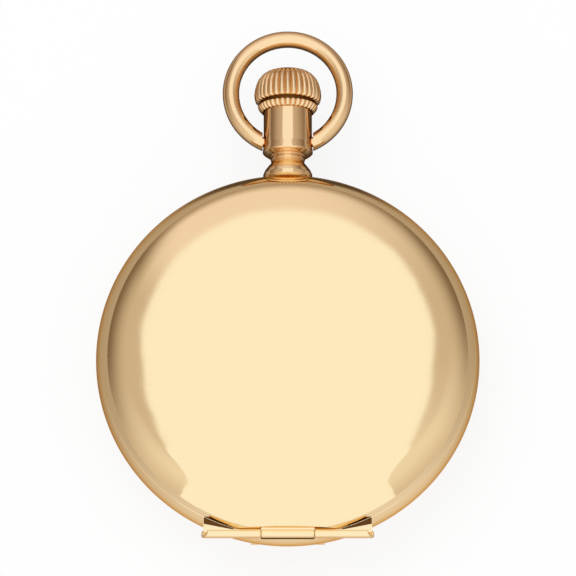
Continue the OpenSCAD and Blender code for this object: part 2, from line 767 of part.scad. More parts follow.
module lift_spring() {
    top = seam_front_z - 0.12;
    color("#9aa3ad") difference() {
        union() {
            spring_foot(lift_a);
            arc_strip(spring_r + 0.05, spring_r + 0.5, lift_a, lift_a + 4,
                trench_z + 0.3, seam_front_z - 0.5);
            arc_strip(spring_r, spring_r + 0.55, lift_a + 2.2, lift_a + 50, top - 0.8, top);
        }
        at(polar(spring_screw_d, lift_a)) disc(0, far, 0.5);
    }
}

module catch_spring() {
    top = seam_front_z - 0.12;
    nose_z = seam_front_z + 0.3;
    color("#9aa3ad") difference() {
        union() {
            spring_foot(catch_a);
            arc_strip(spring_r + 0.05, spring_r + 0.45, catch_a - 4, catch_a,
                trench_z + 0.3, seam_front_z - 0.5);
            arc_strip(spring_r, spring_r + 0.5, 88, catch_a - 2.2, top - 0.7, top);
            rotate([0, 0, 88.5]) rotate_extrude(angle = 5) polygon([
                [bezel_r + 0.05, top - 0.6], [spring_r + 0.2, top - 0.6], [spring_r + 0.2, nose_z],
                [lip_r - 0.05, nose_z], [lip_r - 0.05, nose_z + 0.3], [bezel_r + 0.05, nose_z + 0.3]
            ]);
        }
        at(polar(spring_screw_d, catch_a)) disc(0, far, 0.5);
    }
}

module spring_screws() {
    color("#3c4f7c") for (a = [lift_a, catch_a]) at(polar(spring_screw_d, a)) difference() {
        union() {
            disc(trench_z - 1.4, seam_front_z - 0.3, 0.4);
            disc(seam_front_z - 0.42, seam_front_z - 0.08, 0.65);
        }
        translate([-1, -0.08, seam_front_z - 0.25]) cube([2, 0.16, 1]);
    }
}

module case_screws() {
    color("#3c4f7c") for (a = case_screw_a) at(polar(case_screw_d, a))
        translate([0, 0, plate_back_z - screw_head_h]) back_screw(0, screw_head_h + 1.1);
}

module dial() {
    color("#f4f0e4") difference() {
        union() {
            disc(dial_z, dial_top_z, dial_r);
            for (a = [40, 160, 290]) at(polar(18.6, a)) disc(plate_top_z - 0.9, dial_z + 0.1, 0.45);
        }
        disc(0, far, hour_pipe_r + slide_gap);
        at(fourth_p) disc(0, far, sub_dial_r);
    }
}

module seconds_dial() {
    color("#f4f0e4") at(fourth_p) pipe(dial_z - 0.3, dial_z, sub_dial_r + 0.3, 0.35);
}

// Hand along +X from a hub, on its arbor at the origin
module hand(z, length, tail, hub, bore, w) {
    translate([0, 0, z]) linear_extrude(hand_t) difference() {
        union() {
            circle(hub);
            polygon([
                [-tail, -0.6 * w], [0, -w], [0.55 * length, -0.7 * w], [0.68 * length, -2.1 * w],
                [length, 0], [0.68 * length, 2.1 * w], [0.55 * length, 0.7 * w], [0, w], [-tail, 0.6 * w]
            ]);
        }
        circle(bore);
    }
}

module hour_hand() {
    color("#26355f") rotate([0, 0, -125])
        hand(hour_hand_z, hour_hand_len, 0, 1.75, hour_pipe_r + fit / 2, 0.32);
}

module minute_hand() {
    color("#26355f") rotate([0, 0, 120])
        hand(minute_hand_z, minute_hand_len, 0, 1.25, cannon_pipe_r + fit / 2, 0.26);
}

module seconds_hand() {
    color("#26355f") at(fourth_p) rotate([0, 0, 40])
        hand(dial_top_z - 0.1, seconds_hand_len, 1.3, 0.45, 0.2 + fit / 2, 0.08);
}

module cannon_pinion() {
    color("#b9bcc2") difference() {
        union() {
            pinion(cannon_teeth, motion_m, cannon_phase, plate_top_z + 0.05, plate_top_z + 0.4);
            disc(plate_top_z + 0.05, minute_hand_z + hand_t + 0.1, cannon_pipe_r);
        }
        disc(0, far, centre_post_r + fit / 2);
    }
}

module minute_wheel() {
    z = plate_top_z + 0.1;
    color("#cfae6a") at(minute_p) difference() {
        union() {
            wheel(minute_teeth, motion_m, minute_phase, z, z + 0.25, 0.3, 4);
            pinion(minute_leaves, hour_m, minute_leaf_phase, z + 0.25, z + 0.6);
        }
        disc(0, far, 0.4 + pivot_gap);
    }
}

module hour_wheel() {
    z = plate_top_z + 0.45;
    color("#cfae6a") difference() {
        union() {
            wheel(hour_teeth, hour_m, hour_phase, z, z + 0.25, 0.5, 4);
            disc(z, hour_hand_z + hand_t + 0.05, hour_pipe_r);
        }
        disc(0, far, cannon_pipe_r + 0.05);
    }
}

module setting_wheel() {
    color("#b9bcc2") at(setting_p) difference() {
        translate([0, 0, plate_back_z + 0.5]) linear_extrude(plate_t)
            gear(setting_teeth, motion_m, setting_phase);
        disc(0, far, 0.5 + pivot_gap);
    }
}

// Room for the winding pinion, up to height z
module winding_slot(z) {
    room = 0.2;
    translate([-winding_r - room, winding_y[0] - room, 0])
        cube([2 * (winding_r + room), winding_y[1] - winding_y[0] + 2 * room, z]);
}

module main_plate() {
    color("#c9c7c0") difference() {
        union() {
            disc(plate_back_z, plate_top_z, plate_r);
            disc(seat_z, plate_top_z, seat_r - slide_gap);
            pipe(plate_top_z - 0.1, dial_z, plate_r, plate_r - 1);
        }
        for (p = [third_p, fourth_p, escape_p, pallet_p, balance_p]) at(p) jewel_hole_plate();
        disc(0, far, centre_post_r + 0.15);
        at(barrel_p) disc(0, far, barrel_pivot_r + pivot_gap);
        at(setting_p) pipe(plate_back_z + 0.4, far, 2.4, 0.5);
        winding_slot(far);
        translate([-clutch_r - 0.2, clutch_y[0] - 0.75, 0]) cube([2 * clutch_r + 0.4, 4, far]);
        translate([-0.7, lever_pin_y - 1.4, 0]) cube([1.4, 2.8, far]);
        for (a = [40, 160, 290]) at(polar(18.6, a)) disc(0, far, 0.5);
        for (p = concat(barrel_feet, train_feet, [cock_foot_p])) at(p)
            disc(0, plate_top_z - 0.2, screw_shank_r + fit);
        for (p = pallet_feet) at(p) disc(0, plate_top_z - 0.5, pallet_screw_r + fit);
        for (a = case_screw_a) at(polar(case_screw_d, a)) disc(0, plate_back_z + 1.2, screw_shank_r + fit);
        for (p = [setting_lever_p, clutch_lever_p]) at(p) disc(plate_top_z - 1, far, 0.35 + fit);
        stem_disc(0, far, stem_r + 0.15);
    }
    color("#c9c7c0") {
        at(minute_p) disc(plate_top_z - 0.2, plate_top_z + 0.75, 0.4);
        at(setting_p) disc(plate_top_z - 0.3, plate_top_z + 0.55, 0.5);
    }
}

module bridge_2d(outline) {
    difference() {
        intersection() {
            circle(bridge_r);
            polygon(outline);
        }
        translate(balance_p) circle(balance_clear_r);
    }
}

module bridge(outline, feet) {
    difference() {
        union() {
            translate([0, 0, bridge_back_z]) linear_extrude(bridge_t) bridge_2d(outline);
            for (p = feet) at(p) disc(bridge_z - 0.2, plate_back_z, foot_r);
        }
        for (p = feet) at(p) screw_hole(bridge_back_z);
        for (a = case_screw_a) at(polar(case_screw_d, a)) disc(-1, far, screw_head_r + 0.15);
    }
}

module barrel_bridge() {
    r = bridge_r + 1;
    color("#cbc9c4") difference() {
        union() {
            bridge([[split_x + 2.3, r], [split_x + 2.3, 8.2], [split_x, 3.2], [split_x, -5], [-2.6, -8.5],
                    [-8.2, -14], [-8.2, -r], [-r, -r], [-r, r]], barrel_feet);
            at(crown_wheel_p) disc(wheel_z - wheel_t + 0.03, bridge_back_z + 0.5, 1.15);
        }
        at(crown_wheel_p)
            pipe(bridge_back_z - 1, bridge_z - 0.35, contrate_r[1] + 0.12, contrate_r[0] - 0.12);
        at(crown_wheel_p) disc(0, bridge_z - 0.4, 0.45);
        winding_slot(z_mid);
        disc(0, far, centre_pivot_r + pivot_gap);
        at(barrel_p) disc(0, far, barrel_core_r + pivot_gap);
        at(click_p) disc(0, bridge_z - 0.3, 0.4 + fit);
        at(click_spring_p) disc(0, bridge_z - 0.3, 0.3 + fit);
    }
}

module train_bridge() {
    r = bridge_r + 1;
    color("#cbc9c4") difference() {
        bridge([[split_x + 2.6, r], [split_x + 2.6, 8.1], [split_x + 0.3, 3.1], [split_x + 0.3, -6],
                [12, -15], [r, -15], [r, r]], train_feet);
        for (p = [third_p, fourth_p, escape_p]) at(p) jewel_hole_bridge();
    }
}

module balance_cock() {
    z = cock_z - cock_t;
    color("#cbc9c4") difference() {
        union() {
            translate([0, 0, z]) linear_extrude(cock_t) link(cock_foot_p, balance_p, cock_foot_r, 1.7);
            at(cock_foot_p) disc(cock_z - 0.1, plate_back_z, cock_foot_r - 0.1);
            at(balance_p) disc(z - 0.35, z + 0.1, 0.95);
        }
        at(balance_p) disc(0, z + 0.1, jewel_r - 0.25);
        at(balance_p) disc(0, far, 3 * pivot_r);
        at(cock_foot_p) screw_hole(z);
        at(stud_p) disc(0, far, 0.2 + fit / 2);
    }
}

module pallet_bridge() {
    z = bridge_z - 0.05;
    color("#cbc9c4") difference() {
        union() {
            translate([0, 0, z]) linear_extrude(0.4) {
                link(pallet_feet[0], pallet_p, 0.85, 1.1);
                link(pallet_feet[1], pallet_p, 0.85, 1.15);
            }
            for (p = pallet_feet) at(p) disc(z + 0.2, plate_back_z, 0.75);
        }
        at(pallet_p) disc(0, far, jewel_r + fit / 2);
        for (p = pallet_feet) at(p) {
            disc(0, far, pallet_screw_r + fit);
            disc(0, z + pallet_head_h + fit, pallet_head_r + fit);
        }
    }
}

module bridge_screws() {
    color("#3c4f7c") {
        for (p = concat(barrel_feet, train_feet)) at(p) translate([0, 0, bridge_back_z])
            back_screw(0, plate_top_z - 0.3 - bridge_back_z);
        at(cock_foot_p) translate([0, 0, cock_z - cock_t]) back_screw(0, plate_top_z - 0.3 - cock_z + cock_t);
        for (p = pallet_feet) at(p)
            back_screw(bridge_z - 0.05, plate_top_z - bridge_z - 0.55,
                pallet_head_r, pallet_screw_r, pallet_head_h);
    }
}

module jewels() {
    color("#a3183a") {
        for (p = [third_p, fourth_p, escape_p, pallet_p, balance_p]) at(p) jewel(plate_top_z - jewel_t);
        for (p = [third_p, fourth_p, escape_p]) at(p) jewel(bridge_back_z);
        at(pallet_p) jewel(bridge_z - 0.05);
        at(balance_p) translate([0, 0, cock_z - cock_t])
            pipe(-0.3, 0.1, jewel_r - 0.25 - fit / 2, pivot_r + pivot_gap);
    }
}

module mainspring_barrel() {
    wall = 0.5;
    z0 = bridge_z + 0.2;
    z1 = z0 + 1.5;
    color("#cfae6a") at(barrel_p) difference() {
        union() {
            translate([0, 0, z1 - 0.6]) linear_extrude(0.5) gear(barrel_teeth, barrel_m, barrel_phase);
            disc(z0, z1, barrel_drum_r);
        }
        disc(z0 + 0.3, z1 - 0.25, barrel_drum_r - wall);
        disc(0, far, barrel_core_r + pivot_gap);
    }
}

module barrel_arbor() {
    color("#b9bcc2") at(barrel_p) {
        disc(wheel_z - wheel_t, plate_back_z - 0.05, barrel_core_r);
        disc(plate_back_z - 0.1, plate_top_z - 0.05, barrel_pivot_r);
        disc(bridge_z + 0.6, bridge_z + 1.35, 2);
    }
}

// Flat spiral strip with its inner end at radius r0
module spiral(r0, r1, turns, w, steps) {
    n = turns * steps;
    polygon(concat(
        [for (i = [0 : n]) polar(r0 + (r1 - r0) * i / n - w / 2, i * 360 / steps)],
        [for (i = [n : -1 : 0]) polar(r0 + (r1 - r0) * i / n + w / 2, i * 360 / steps)]
    ));
}

module mainspring() {
    color("#6f7f96") at(barrel_p) translate([0, 0, bridge_z + 0.58]) linear_extrude(0.8)
        spiral(2.3, barrel_drum_r - 0.85, 9, 0.18, 24);
}

module centre_wheel() {
    z = plate_back_z - 0.5;
    color("#cfae6a") {
        wheel(centre_teeth, centre_m, centre_phase, z, z + 0.25, 0.2);
        pinion(centre_leaves, barrel_m, 0, z - 1, z - 0.1);
        disc(bridge_z + 0.05, plate_back_z - 0.05, 0.7);
        disc(bridge_back_z, bridge_z + 0.1, centre_pivot_r);
        disc(plate_back_z - 0.1, minute_hand_z + hand_t, centre_post_r);
    }
}

module third_wheel() {
    color("#cfae6a") at(third_p) {
        arbor(0.35, bridge_z, plate_back_z);
        wheel(third_teeth, third_m, third_phase, bridge_z + 0.4, bridge_z + 0.65, 0.2);
        pinion(third_leaves, centre_m, third_leaf_phase, plate_back_z - 0.6, plate_back_z - 0.15);
    }
}

module fourth_wheel() {
    color("#cfae6a") at(fourth_p) {
        arbor(0.32, bridge_z, plate_back_z);
        disc(plate_top_z - 0.1, dial_top_z + 0.1, pivot_r);
        disc(dial_z - 0.2, dial_top_z + 0.1, 0.2);
        wheel(fourth_teeth, fourth_m, fourth_phase, bridge_z + 1.2, bridge_z + 1.4, 0.2);
        pinion(fourth_leaves, third_m, fourth_leaf_phase, bridge_z + 0.3, bridge_z + 0.8);
    }
}

module escape_wheel() {
    root = escape_r - 0.75;
    pitch = 360 / escape_teeth;
    color("#d8d2c0") at(escape_p) {
        arbor(0.28, bridge_z, plate_back_z);
        pinion(escape_leaves, fourth_m, escape_leaf_phase, bridge_z + 1.1, bridge_z + 1.5);
        translate([0, 0, bridge_z + 0.5]) linear_extrude(0.2) difference() {
            polygon([for (i = [0 : escape_teeth - 1]) each [
                polar(root, (i + 0.1) * pitch), polar(escape_r, (i + 0.3) * pitch),
                polar(escape_r, (i + 0.48) * pitch), polar(root, (i + 0.55) * pitch)
            ]]);
            windows(0.9, root - 0.45, 4, 0.4);
        }
    }
}

module pallet_fork() {
    stones = [for (s = [-1, 1]) escape_p + polar(4.35, lever_a + s * 28)];
    fork_end = balance_p - polar(0.75, lever_a);
    color("#c2c6cc") {
        at(pallet_p) {
            disc(bridge_z + 0.42, plate_back_z - 0.05, 0.25);
            disc(bridge_z - 0.04, plate_top_z - 0.05, pivot_r);
        }
        translate([0, 0, bridge_z + 0.5]) linear_extrude(0.25) difference() {
            union() {
                for (s = stones) link(pallet_p, s, 0.35, 0.3);
                link(pallet_p, fork_end, 0.3, 0.42);
                for (s = [0, 1]) translate(stones[s])
                    rotate(along(stones[s], escape_p)) translate([0, -0.15]) square([0.5, 0.3]);
            }
            translate(fork_end) rotate(lever_a) translate([-0.35, -0.19]) square([1, 0.38]);
        }
    }
}

module balance_wheel() {
    z = balance_z;
    color("#d3b06c") at(balance_p) difference() {
        union() {
            pipe(z, z + 0.7, balance_r, balance_r - 0.85);
            translate([0, 0, z + 0.4]) linear_extrude(0.3) difference() {
                circle(balance_r - 0.4);
                windows(0.95, balance_r - 0.8, 3, 0.8);
            }
        }
        disc(0, far, 0.32 + fit / 2);
        for (a = [0 : 30 : 330]) rotate([0, 90, a]) translate([-z - 0.35, 0, balance_r - 0.7])
            cylinder(h = far, r = 0.15 + fit / 2);
    }
}

module balance_screws() {
    color("#e0bd78") at(balance_p) for (a = [0 : 30 : 330])
        rotate([0, 90, a]) translate([-balance_z - 0.35, 0, 0]) {
        translate([0, 0, balance_r - 0.6]) cylinder(h = 0.8, r = 0.15);
        translate([0, 0, balance_r + 0.03]) cylinder(h = 0.5, r = 0.32);
    }
}

module balance_staff() {
    color("#c2c6cc") at(balance_p) {
        disc(cock_z + 0.08, plate_back_z - 0.05, 0.32);
        disc(cock_z - cock_t - 0.25, plate_top_z - 0.05, pivot_r);
        disc(bridge_z + 0.9, bridge_z + 1.1, 1.3);
        rotate([0, 0, lever_a + 180]) translate([0.85, 0, 0]) disc(bridge_z + 0.8, bridge_z + 1, 0.14);
    }
}

module hairspring() {
    color("#31508f") at(balance_p) {
        pipe(cock_z + 0.12, balance_z + 0.35, 0.8, 0.32 + fit / 2);
        translate([0, 0, cock_z + 0.15]) linear_extrude(0.2) spiral(0.8, hairspring_r, 8, 0.07, 24);
    }
}

module hairspring_stud() {
    color("#b9bcc2") at(stud_p) {
        disc(cock_z - cock_t + 0.05, cock_z + 0.1, 0.2);
        disc(cock_z + 0.02, cock_z + 0.4, 0.3);
    }
}

module regulator() {
    z = cock_z - cock_t;
    color("#c2c6cc") at(balance_p) difference() {
        union() {
            disc(z - 0.3, z - 0.05, 1.6);
            translate([0, 0, z - 0.3]) linear_extrude(0.25) rotate(along(balance_p, cock_foot_p) + 25)
                polygon([[0, -0.4], [5.2, -0.12], [5.8, 0], [5.2, 0.12], [0, 0.4]]);
        }
        disc(0, far, 0.95 + pivot_gap);
    }
}

module ratchet_wheel() {
    color("#bfc3c9") at(barrel_p) translate([0, 0, wheel_z - wheel_t]) linear_extrude(wheel_t) difference() {
        gear(ratchet_teeth, ratchet_m, ratchet_phase);
        circle(barrel_core_r + fit / 2);
    }
}

module crown_wheel() {
    color("#bfc3c9") at(crown_wheel_p) difference() {
        union() {
            translate([0, 0, wheel_z - wheel_t]) linear_extrude(wheel_t)
                gear(crown_wheel_teeth, ratchet_m, crown_wheel_phase);
            for (i = [0 : contrate_teeth - 1]) rotate([0, 0, 90 + (i + 0.5) * 360 / contrate_teeth])
                translate([contrate_r[0], -0.22, wheel_z - 0.1])
                    cube([contrate_r[1] - contrate_r[0] - 0.05, 0.44, bridge_z - 0.4 - wheel_z + 0.1]);
        }
        disc(0, far, 1.15 + pivot_gap);
    }
}

module wheel_screws() {
    z = wheel_z - wheel_t;
    color("#3c4f7c") {
        at(crown_wheel_p) back_screw(z - screw_head_h - fit, 1.7, 1.6, 0.43);
        at(barrel_p) translate([0, 0, z - 0.37]) difference() {
            disc(0, 0.35, 1.9);
            translate([-3, -0.08, -1]) cube([6, 0.16, 1.15]);
        }
        at(click_p) translate([0, 0, z - 0.2]) back_screw(0, 1.4, 0.75, 0.38);
        at(click_spring_p) translate([0, 0, z - 0.2]) back_screw(0, 1.3, 0.55, 0.28);
    }
}

module click() {
    nose = barrel_p + polar(ratchet_tip_r + 0.35, click_a - 12);
    color("#bfc3c9") difference() {
        translate([0, 0, wheel_z - wheel_t + 0.25]) linear_extrude(wheel_t - 0.25) difference() {
            link(click_p, nose, 0.8, 0.3);
            translate(barrel_p) circle(ratchet_tip_r + 0.06);
        }
        at(click_p) disc(0, far, 0.38 + pivot_gap);
    }
}

module click_spring() {
    r = norm(click_p - click_spring_p);
    a = along(click_spring_p, click_p);
    color("#8d96a3") difference() {
        translate([0, 0, wheel_z - 0.2]) linear_extrude(0.2) union() {
            translate(click_spring_p) circle(0.6);
            translate(click_spring_p) rotate(a) translate([0, -0.12]) square([r - 0.9, 0.24]);
        }
        at(click_spring_p) disc(0, far, 0.28 + fit);
    }
}

module winding_pinion() {
    color("#bfc3c9") difference() {
        along_stem() translate([0, 0, winding_y[0]]) linear_extrude(winding_y[1] - winding_y[0])
            rotate(90) gear(winding_teeth, 2 * winding_r / (winding_teeth + 1.8), 0, 0.22, 0.1);
        stem_disc(0, far, stem_tip_r + 0.04);
        stem_disc(winding_y[1] - 0.7, far, stem_r + 0.05);
    }
}

module clutch_wheel() {
    color("#bfc3c9") difference() {
        stem_disc(clutch_y[0], clutch_y[1], clutch_r);
        along_stem() pipe(clutch_groove_y - 0.45, clutch_groove_y + 0.45, far, clutch_r - 0.45);
        stem_disc(0, far, stem_tip_r + 0.04);
    }
}

// Flat lever on the plate with a pin that reaches down into a groove
module plate_lever(pivot, tip, tip_r, pin_z) {
    z = plate_top_z + 0.06;
    translate([0, 0, z]) linear_extrude(0.3) link(pivot, tip, 0.7, 0.45);
    at(tip) disc(pin_z, z + 0.1, tip_r);
    at(pivot) disc(plate_top_z - 0.95, z + 0.1, 0.35);
}

module clutch_lever() {
    color("#bfc3c9") plate_lever(clutch_lever_p, [0, clutch_groove_y], 0.25, z_mid + clutch_r - 0.3);
}

module setting_lever() {
    color("#bfc3c9") plate_lever(setting_lever_p, [0, lever_pin_y], 0.25, z_mid + stem_tip_r + 0.04);
}

module sized() {
    if (size_k == 1) children();
    else scale(size_k) children();
}

sized() {
    case_centre();
    front_lid();
    front_hinge_pin();
    back_cover();
    cuvette();
    back_hinge_pin();
    bezel();
    crystal();
    pendant();
    bow();
    crown();
    stem();
    stem_sleeve();
    lift_spring();
    catch_spring();
    spring_screws();
    case_screws();
    dial();
    seconds_dial();
    hour_hand();
    minute_hand();
    seconds_hand();
    cannon_pinion();
    minute_wheel();
    hour_wheel();
    setting_wheel();
    main_plate();
    barrel_bridge();
    train_bridge();
    balance_cock();
    pallet_bridge();
    bridge_screws();
    jewels();
    mainspring_barrel();
    barrel_arbor();
    mainspring();
    centre_wheel();
    third_wheel();
    fourth_wheel();
    escape_wheel();
    pallet_fork();
    balance_wheel();
    balance_screws();
    balance_staff();
    hairspring();
    hairspring_stud();
    regulator();
    ratchet_wheel();
    crown_wheel();
    wheel_screws();
    click();
    click_spring();
    winding_pinion();
    clutch_wheel();
    clutch_lever();
    setting_lever();
}
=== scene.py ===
"""Full hunter pocket watch: its visible pieces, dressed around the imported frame.

Sizes are in millimetres, in the frame of the model: dial side +Z, crown +Y, hinges -Y.
A mesh is drawn in millimetres and scaled to metres when it becomes a piece.
"""
import json
import math

import bmesh
import bpy
from mathutils import Matrix, Vector


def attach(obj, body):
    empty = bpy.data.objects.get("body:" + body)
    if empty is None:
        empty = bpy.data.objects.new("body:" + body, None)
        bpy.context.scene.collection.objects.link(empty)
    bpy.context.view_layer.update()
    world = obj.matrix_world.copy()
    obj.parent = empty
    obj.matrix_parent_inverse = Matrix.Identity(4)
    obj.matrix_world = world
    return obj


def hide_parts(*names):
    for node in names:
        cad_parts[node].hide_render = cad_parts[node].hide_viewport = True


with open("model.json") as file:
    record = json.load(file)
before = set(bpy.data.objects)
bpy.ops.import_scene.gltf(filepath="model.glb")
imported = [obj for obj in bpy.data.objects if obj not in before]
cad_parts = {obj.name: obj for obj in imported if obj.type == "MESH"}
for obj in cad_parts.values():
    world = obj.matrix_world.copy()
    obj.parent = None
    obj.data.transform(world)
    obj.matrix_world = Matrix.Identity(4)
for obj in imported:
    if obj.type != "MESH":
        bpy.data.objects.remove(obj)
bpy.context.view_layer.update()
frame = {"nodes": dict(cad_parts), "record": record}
MM = 0.001

# Sizes of the case, as in the model. Heights are along Z, from the case's back.
CASE_TOP = 15.6
Z_MID = 7.8
# Round edge of the case: its centre as (radius, height), and its radius
SIDE_C = (20.5, Z_MID)
SIDE_R = 5.5
# Domes of front and back in the same way, and the angle at which the front one meets the round edge
FRONT_R = 98.011
FRONT_C = (0.0, CASE_TOP - FRONT_R)
FRONT_JOIN = 77.197
BACK_R = 40.62
BACK_C = (8.0, BACK_R)
# Thickness of the shells, then the heights of the two seams and how far they gape
WALL = 0.55
SEAM_FRONT, SEAM_BACK = 10.3, 5.3
SEAM_GAP = 0.05
# Bore of the middle ring, and the rims that the bezel and the cuvette snap onto
RING_R, RIM_R = 21.7, 22.4
# Trench for the lid's springs: inner radius, outer radius and floor, and the angles where it starts and ends
TRENCH = (22.45, 24.3, 8.0)
TRENCH_A = (82.0, 256.0)
# A hinge: Y and Z of its axis, radius of its knuckles, radius of its pin
HINGE = (-25.05, SEAM_FRONT, 0.6, 0.3)
BACK_HINGE = (-24.75, SEAM_BACK, 0.5, 0.25)
# Where the knuckles end, as distances from the middle of the hinge
HINGE_HALF, LID_KNUCKLE = 11.65, 3.6
BACK_HALF, BACK_KNUCKLE, INNER_KNUCKLE = 5.0, 3.8, 1.6
# Play at a knuckle's end, and what a turning knuckle's bore has more than its pin
SIDE_PLAY, PIN_PLAY = 0.05, 0.03
# Faces of the straight edges of lid and back, and their thickness
WALL_Y, BACK_WALL_Y = -24.4, -24.2
WALL_T = 0.45
# Place for what is turned about the stem
STEM_AXIS = Matrix.Translation((0, 0, Z_MID)) @ Matrix.Rotation(math.radians(-90), 4, "X")
# Upper faces of the dial and of the sunk seconds dial, then the middles of seconds dial and balance
DIAL_TOP, SUB_TOP = 11.5, 10.9
SECONDS_P, BALANCE_P = (11.2, 0.0), (5.6, -11.4)


def polar(r, degrees):
    """A point around the origin."""
    a = math.radians(degrees)
    return r * math.cos(a), r * math.sin(a)


def side_at(z, inset=0.0):
    """Radius of the case's round edge at a height."""
    return SIDE_C[0] + math.sqrt((SIDE_R - inset) ** 2 - (z - Z_MID) ** 2)


def arc(centre, r, start, end, steps):
    """Points of an arc between two angles in degrees."""
    points = []
    for i in range(steps + 1):
        x, y = polar(r, start + (end - start) * i / steps)
        points.append((centre[0] + x, centre[1] + y))
    return points


def rounded(points, radius, steps=3, closed=True):
    """The same outline with its corners rounded. A third number in a point is that corner's own radius."""
    out = []
    count = len(points)
    for i, point in enumerate(points):
        own = point[2] if len(point) > 2 else radius
        here = Vector(point[:2])
        if not closed and i in (0, count - 1) or own <= 0:
            out.append(tuple(here))
            continue
        before = Vector(points[i - 1][:2]) - here
        after = Vector(points[(i + 1) % count][:2]) - here
        half = before.angle(after) / 2
        if half > math.radians(89.5):
            out.append(tuple(here))
            continue
        reach = min(own / math.tan(half), 0.45 * before.length, 0.45 * after.length)
        first, last = here + before.normalized() * reach, here + after.normalized() * reach
        for k in range(steps + 1):
            t = k / steps
            out.append(tuple((1 - t) ** 2 * first + 2 * t * (1 - t) * here + t * t * last))
    return out


# Meshes, drawn in millimetres


def lathe(profile, segments=256, start=0.0, sweep=360.0):
    """Turns a section of (radius, height) points about Z. A section with both ends on the axis closes there,
    and any other is a closed loop."""
    bm = bmesh.new()
    whole = sweep == 360.0
    columns = segments if whole else segments + 1
    angles = [start + sweep * i / segments for i in range(columns)]
    grid = []
    for r, h in profile:
        if r < 1e-6:
            grid.append([bm.verts.new((0, 0, h))] * columns)
        else:
            grid.append([bm.verts.new((*polar(r, a), h)) for a in angles])
    on_axis = profile[0][0] < 1e-6 and profile[-1][0] < 1e-6
    for j in range(len(grid) - 1 if on_axis else len(grid)):
        low, high = grid[j], grid[(j + 1) % len(grid)]
        for i in range(segments):
            k = (i + 1) % columns
            corners = list(dict.fromkeys((low[i], low[k], high[k], high[i])))
            if len(corners) > 2:
                bm.faces.new(corners)
    if not whole:
        bm.faces.new([g[0] for g in grid])
        bm.faces.new([g[-1] for g in grid])
    bmesh.ops.recalc_face_normals(bm, faces=bm.faces)
    return bm


def slab(outline, z0, z1):
    """Extrudes a closed (x, y) outline along Z."""
    bm = bmesh.new()
    low = [bm.verts.new((x, y, z0)) for x, y in outline]
    high = [bm.verts.new((x, y, z1)) for x, y in outline]
    count = len(outline)
    for i in range(count):
        k = (i + 1) % count
        bm.faces.new((low[i], low[k], high[k], high[i]))
    bm.faces.new(low[::-1])
    bm.faces.new(high)
    bmesh.ops.recalc_face_normals(bm, faces=bm.faces)
    return bm


def across(outline, x0, x1):
    """Extrudes a closed (y, z) outline along X."""
    return turned(slab(outline, x0, x1), Matrix(((0, 0, 1, 0), (1, 0, 0, 0), (0, 1, 0, 0), (0, 0, 0, 1))))


def turned(bm, matrix):
    """Puts the mesh in its place."""
    bmesh.ops.transform(bm, matrix=matrix, verts=bm.verts)
    return bm


def joined(*parts):
    """One mesh of several, which are used up."""
    whole = bmesh.new()
    for part in parts:
        mesh = bpy.data.meshes.new("part")
        part.to_mesh(mesh)
        part.free()
        whole.from_mesh(mesh)
        bpy.data.meshes.remove(mesh)
    return whole


def cut(bm, point, normal):
    """Cuts away what lies on the side that normal points to, and closes the cut."""
    everything = bm.verts[:] + bm.edges[:] + bm.faces[:]
    done = bmesh.ops.bisect_plane(bm, geom=everything, plane_co=point, plane_no=normal, clear_outer=True)
    edges = [e for e in done["geom_cut"] if isinstance(e, bmesh.types.BMEdge) and e.is_boundary]
    bmesh.ops.triangle_fill(bm, use_beauty=True, use_dissolve=True, edges=edges)
    bmesh.ops.recalc_face_normals(bm, faces=bm.faces)
    return bm


def along_x(y, z, side=1):
    """Place for what is drawn about Z and has to lie along X."""
    return Matrix.Translation((0, y, z)) @ Matrix.Rotation(math.radians(90 * side), 4, "Y")


def barrel(hinge, x0, x1, bore):
    """Knuckle of a hinge: a tube along X with softened ends."""
    y, z, r, _ = hinge
    section = rounded([(bore, x0), (r, x0, 0.12), (r, x1, 0.12), (bore, x1)], 0.04)
    return turned(lathe(section, 48), along_x(y, z))


def piece(name, bm, finish, body, replaces=(), sharp=32.0):
    """Makes a finished piece of a mesh, riding on its body. Edges of more than sharp degrees stay hard."""
    mesh = bpy.data.meshes.new(name)
    bmesh.ops.scale(bm, vec=(MM,) * 3, verts=bm.verts)
    bm.to_mesh(mesh)
    bm.free()
    # This also sets back the material numbers that faces bring from a Geometry Nodes tree
    mesh.materials.clear()
    mesh.materials.append(finish)
    mesh.shade_smooth()
    mesh.set_sharp_from_angle(angle=math.radians(sharp))
    made = bpy.data.objects.new(name, mesh)
    bpy.context.scene.collection.objects.link(made)
    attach(made, body)
    if replaces:
        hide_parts(*replaces)


# Finishes


def linear(hex_colour):
    """A linear colour from an sRGB hex value."""
    parts = [int(hex_colour[i:i + 2], 16) / 255 for i in (1, 3, 5)]
    return tuple(c / 12.92 if c <= 0.04045 else ((c + 0.055) / 1.055) ** 2.4 for c in parts) + (1.0,)


def add(tree, kind, inputs=None, **settings):
    """Adds one node, with its settings and with values or links for its inputs."""
    node = tree.nodes.new(kind)
    for key, value in settings.items():
        setattr(node, key, value)
    for key, value in (inputs or {}).items():
        if isinstance(value, bpy.types.NodeSocket):
            tree.links.new(value, node.inputs[key])
        else:
            node.inputs[key].default_value = value
    return node


def calc(tree, operation, *values, **settings):
    """The result of one Math node."""
    return add(tree, "ShaderNodeMath", dict(enumerate(values)), operation=operation, **settings).outputs[0]


def mapped(tree, vector, scale, rotation=(0, 0, 0)):
    """A vector, turned and scaled."""
    return add(tree, "ShaderNodeMapping", {"Vector": vector, "Rotation": rotation, "Scale": scale}).outputs[0]


def noise(tree, vector, scale, detail):
    """A cloudy pattern from 0 to 1."""
    cloud = add(tree, "ShaderNodeTexNoise", {"Vector": vector, "Scale": scale, "Detail": detail})
    return cloud.outputs["Fac"]


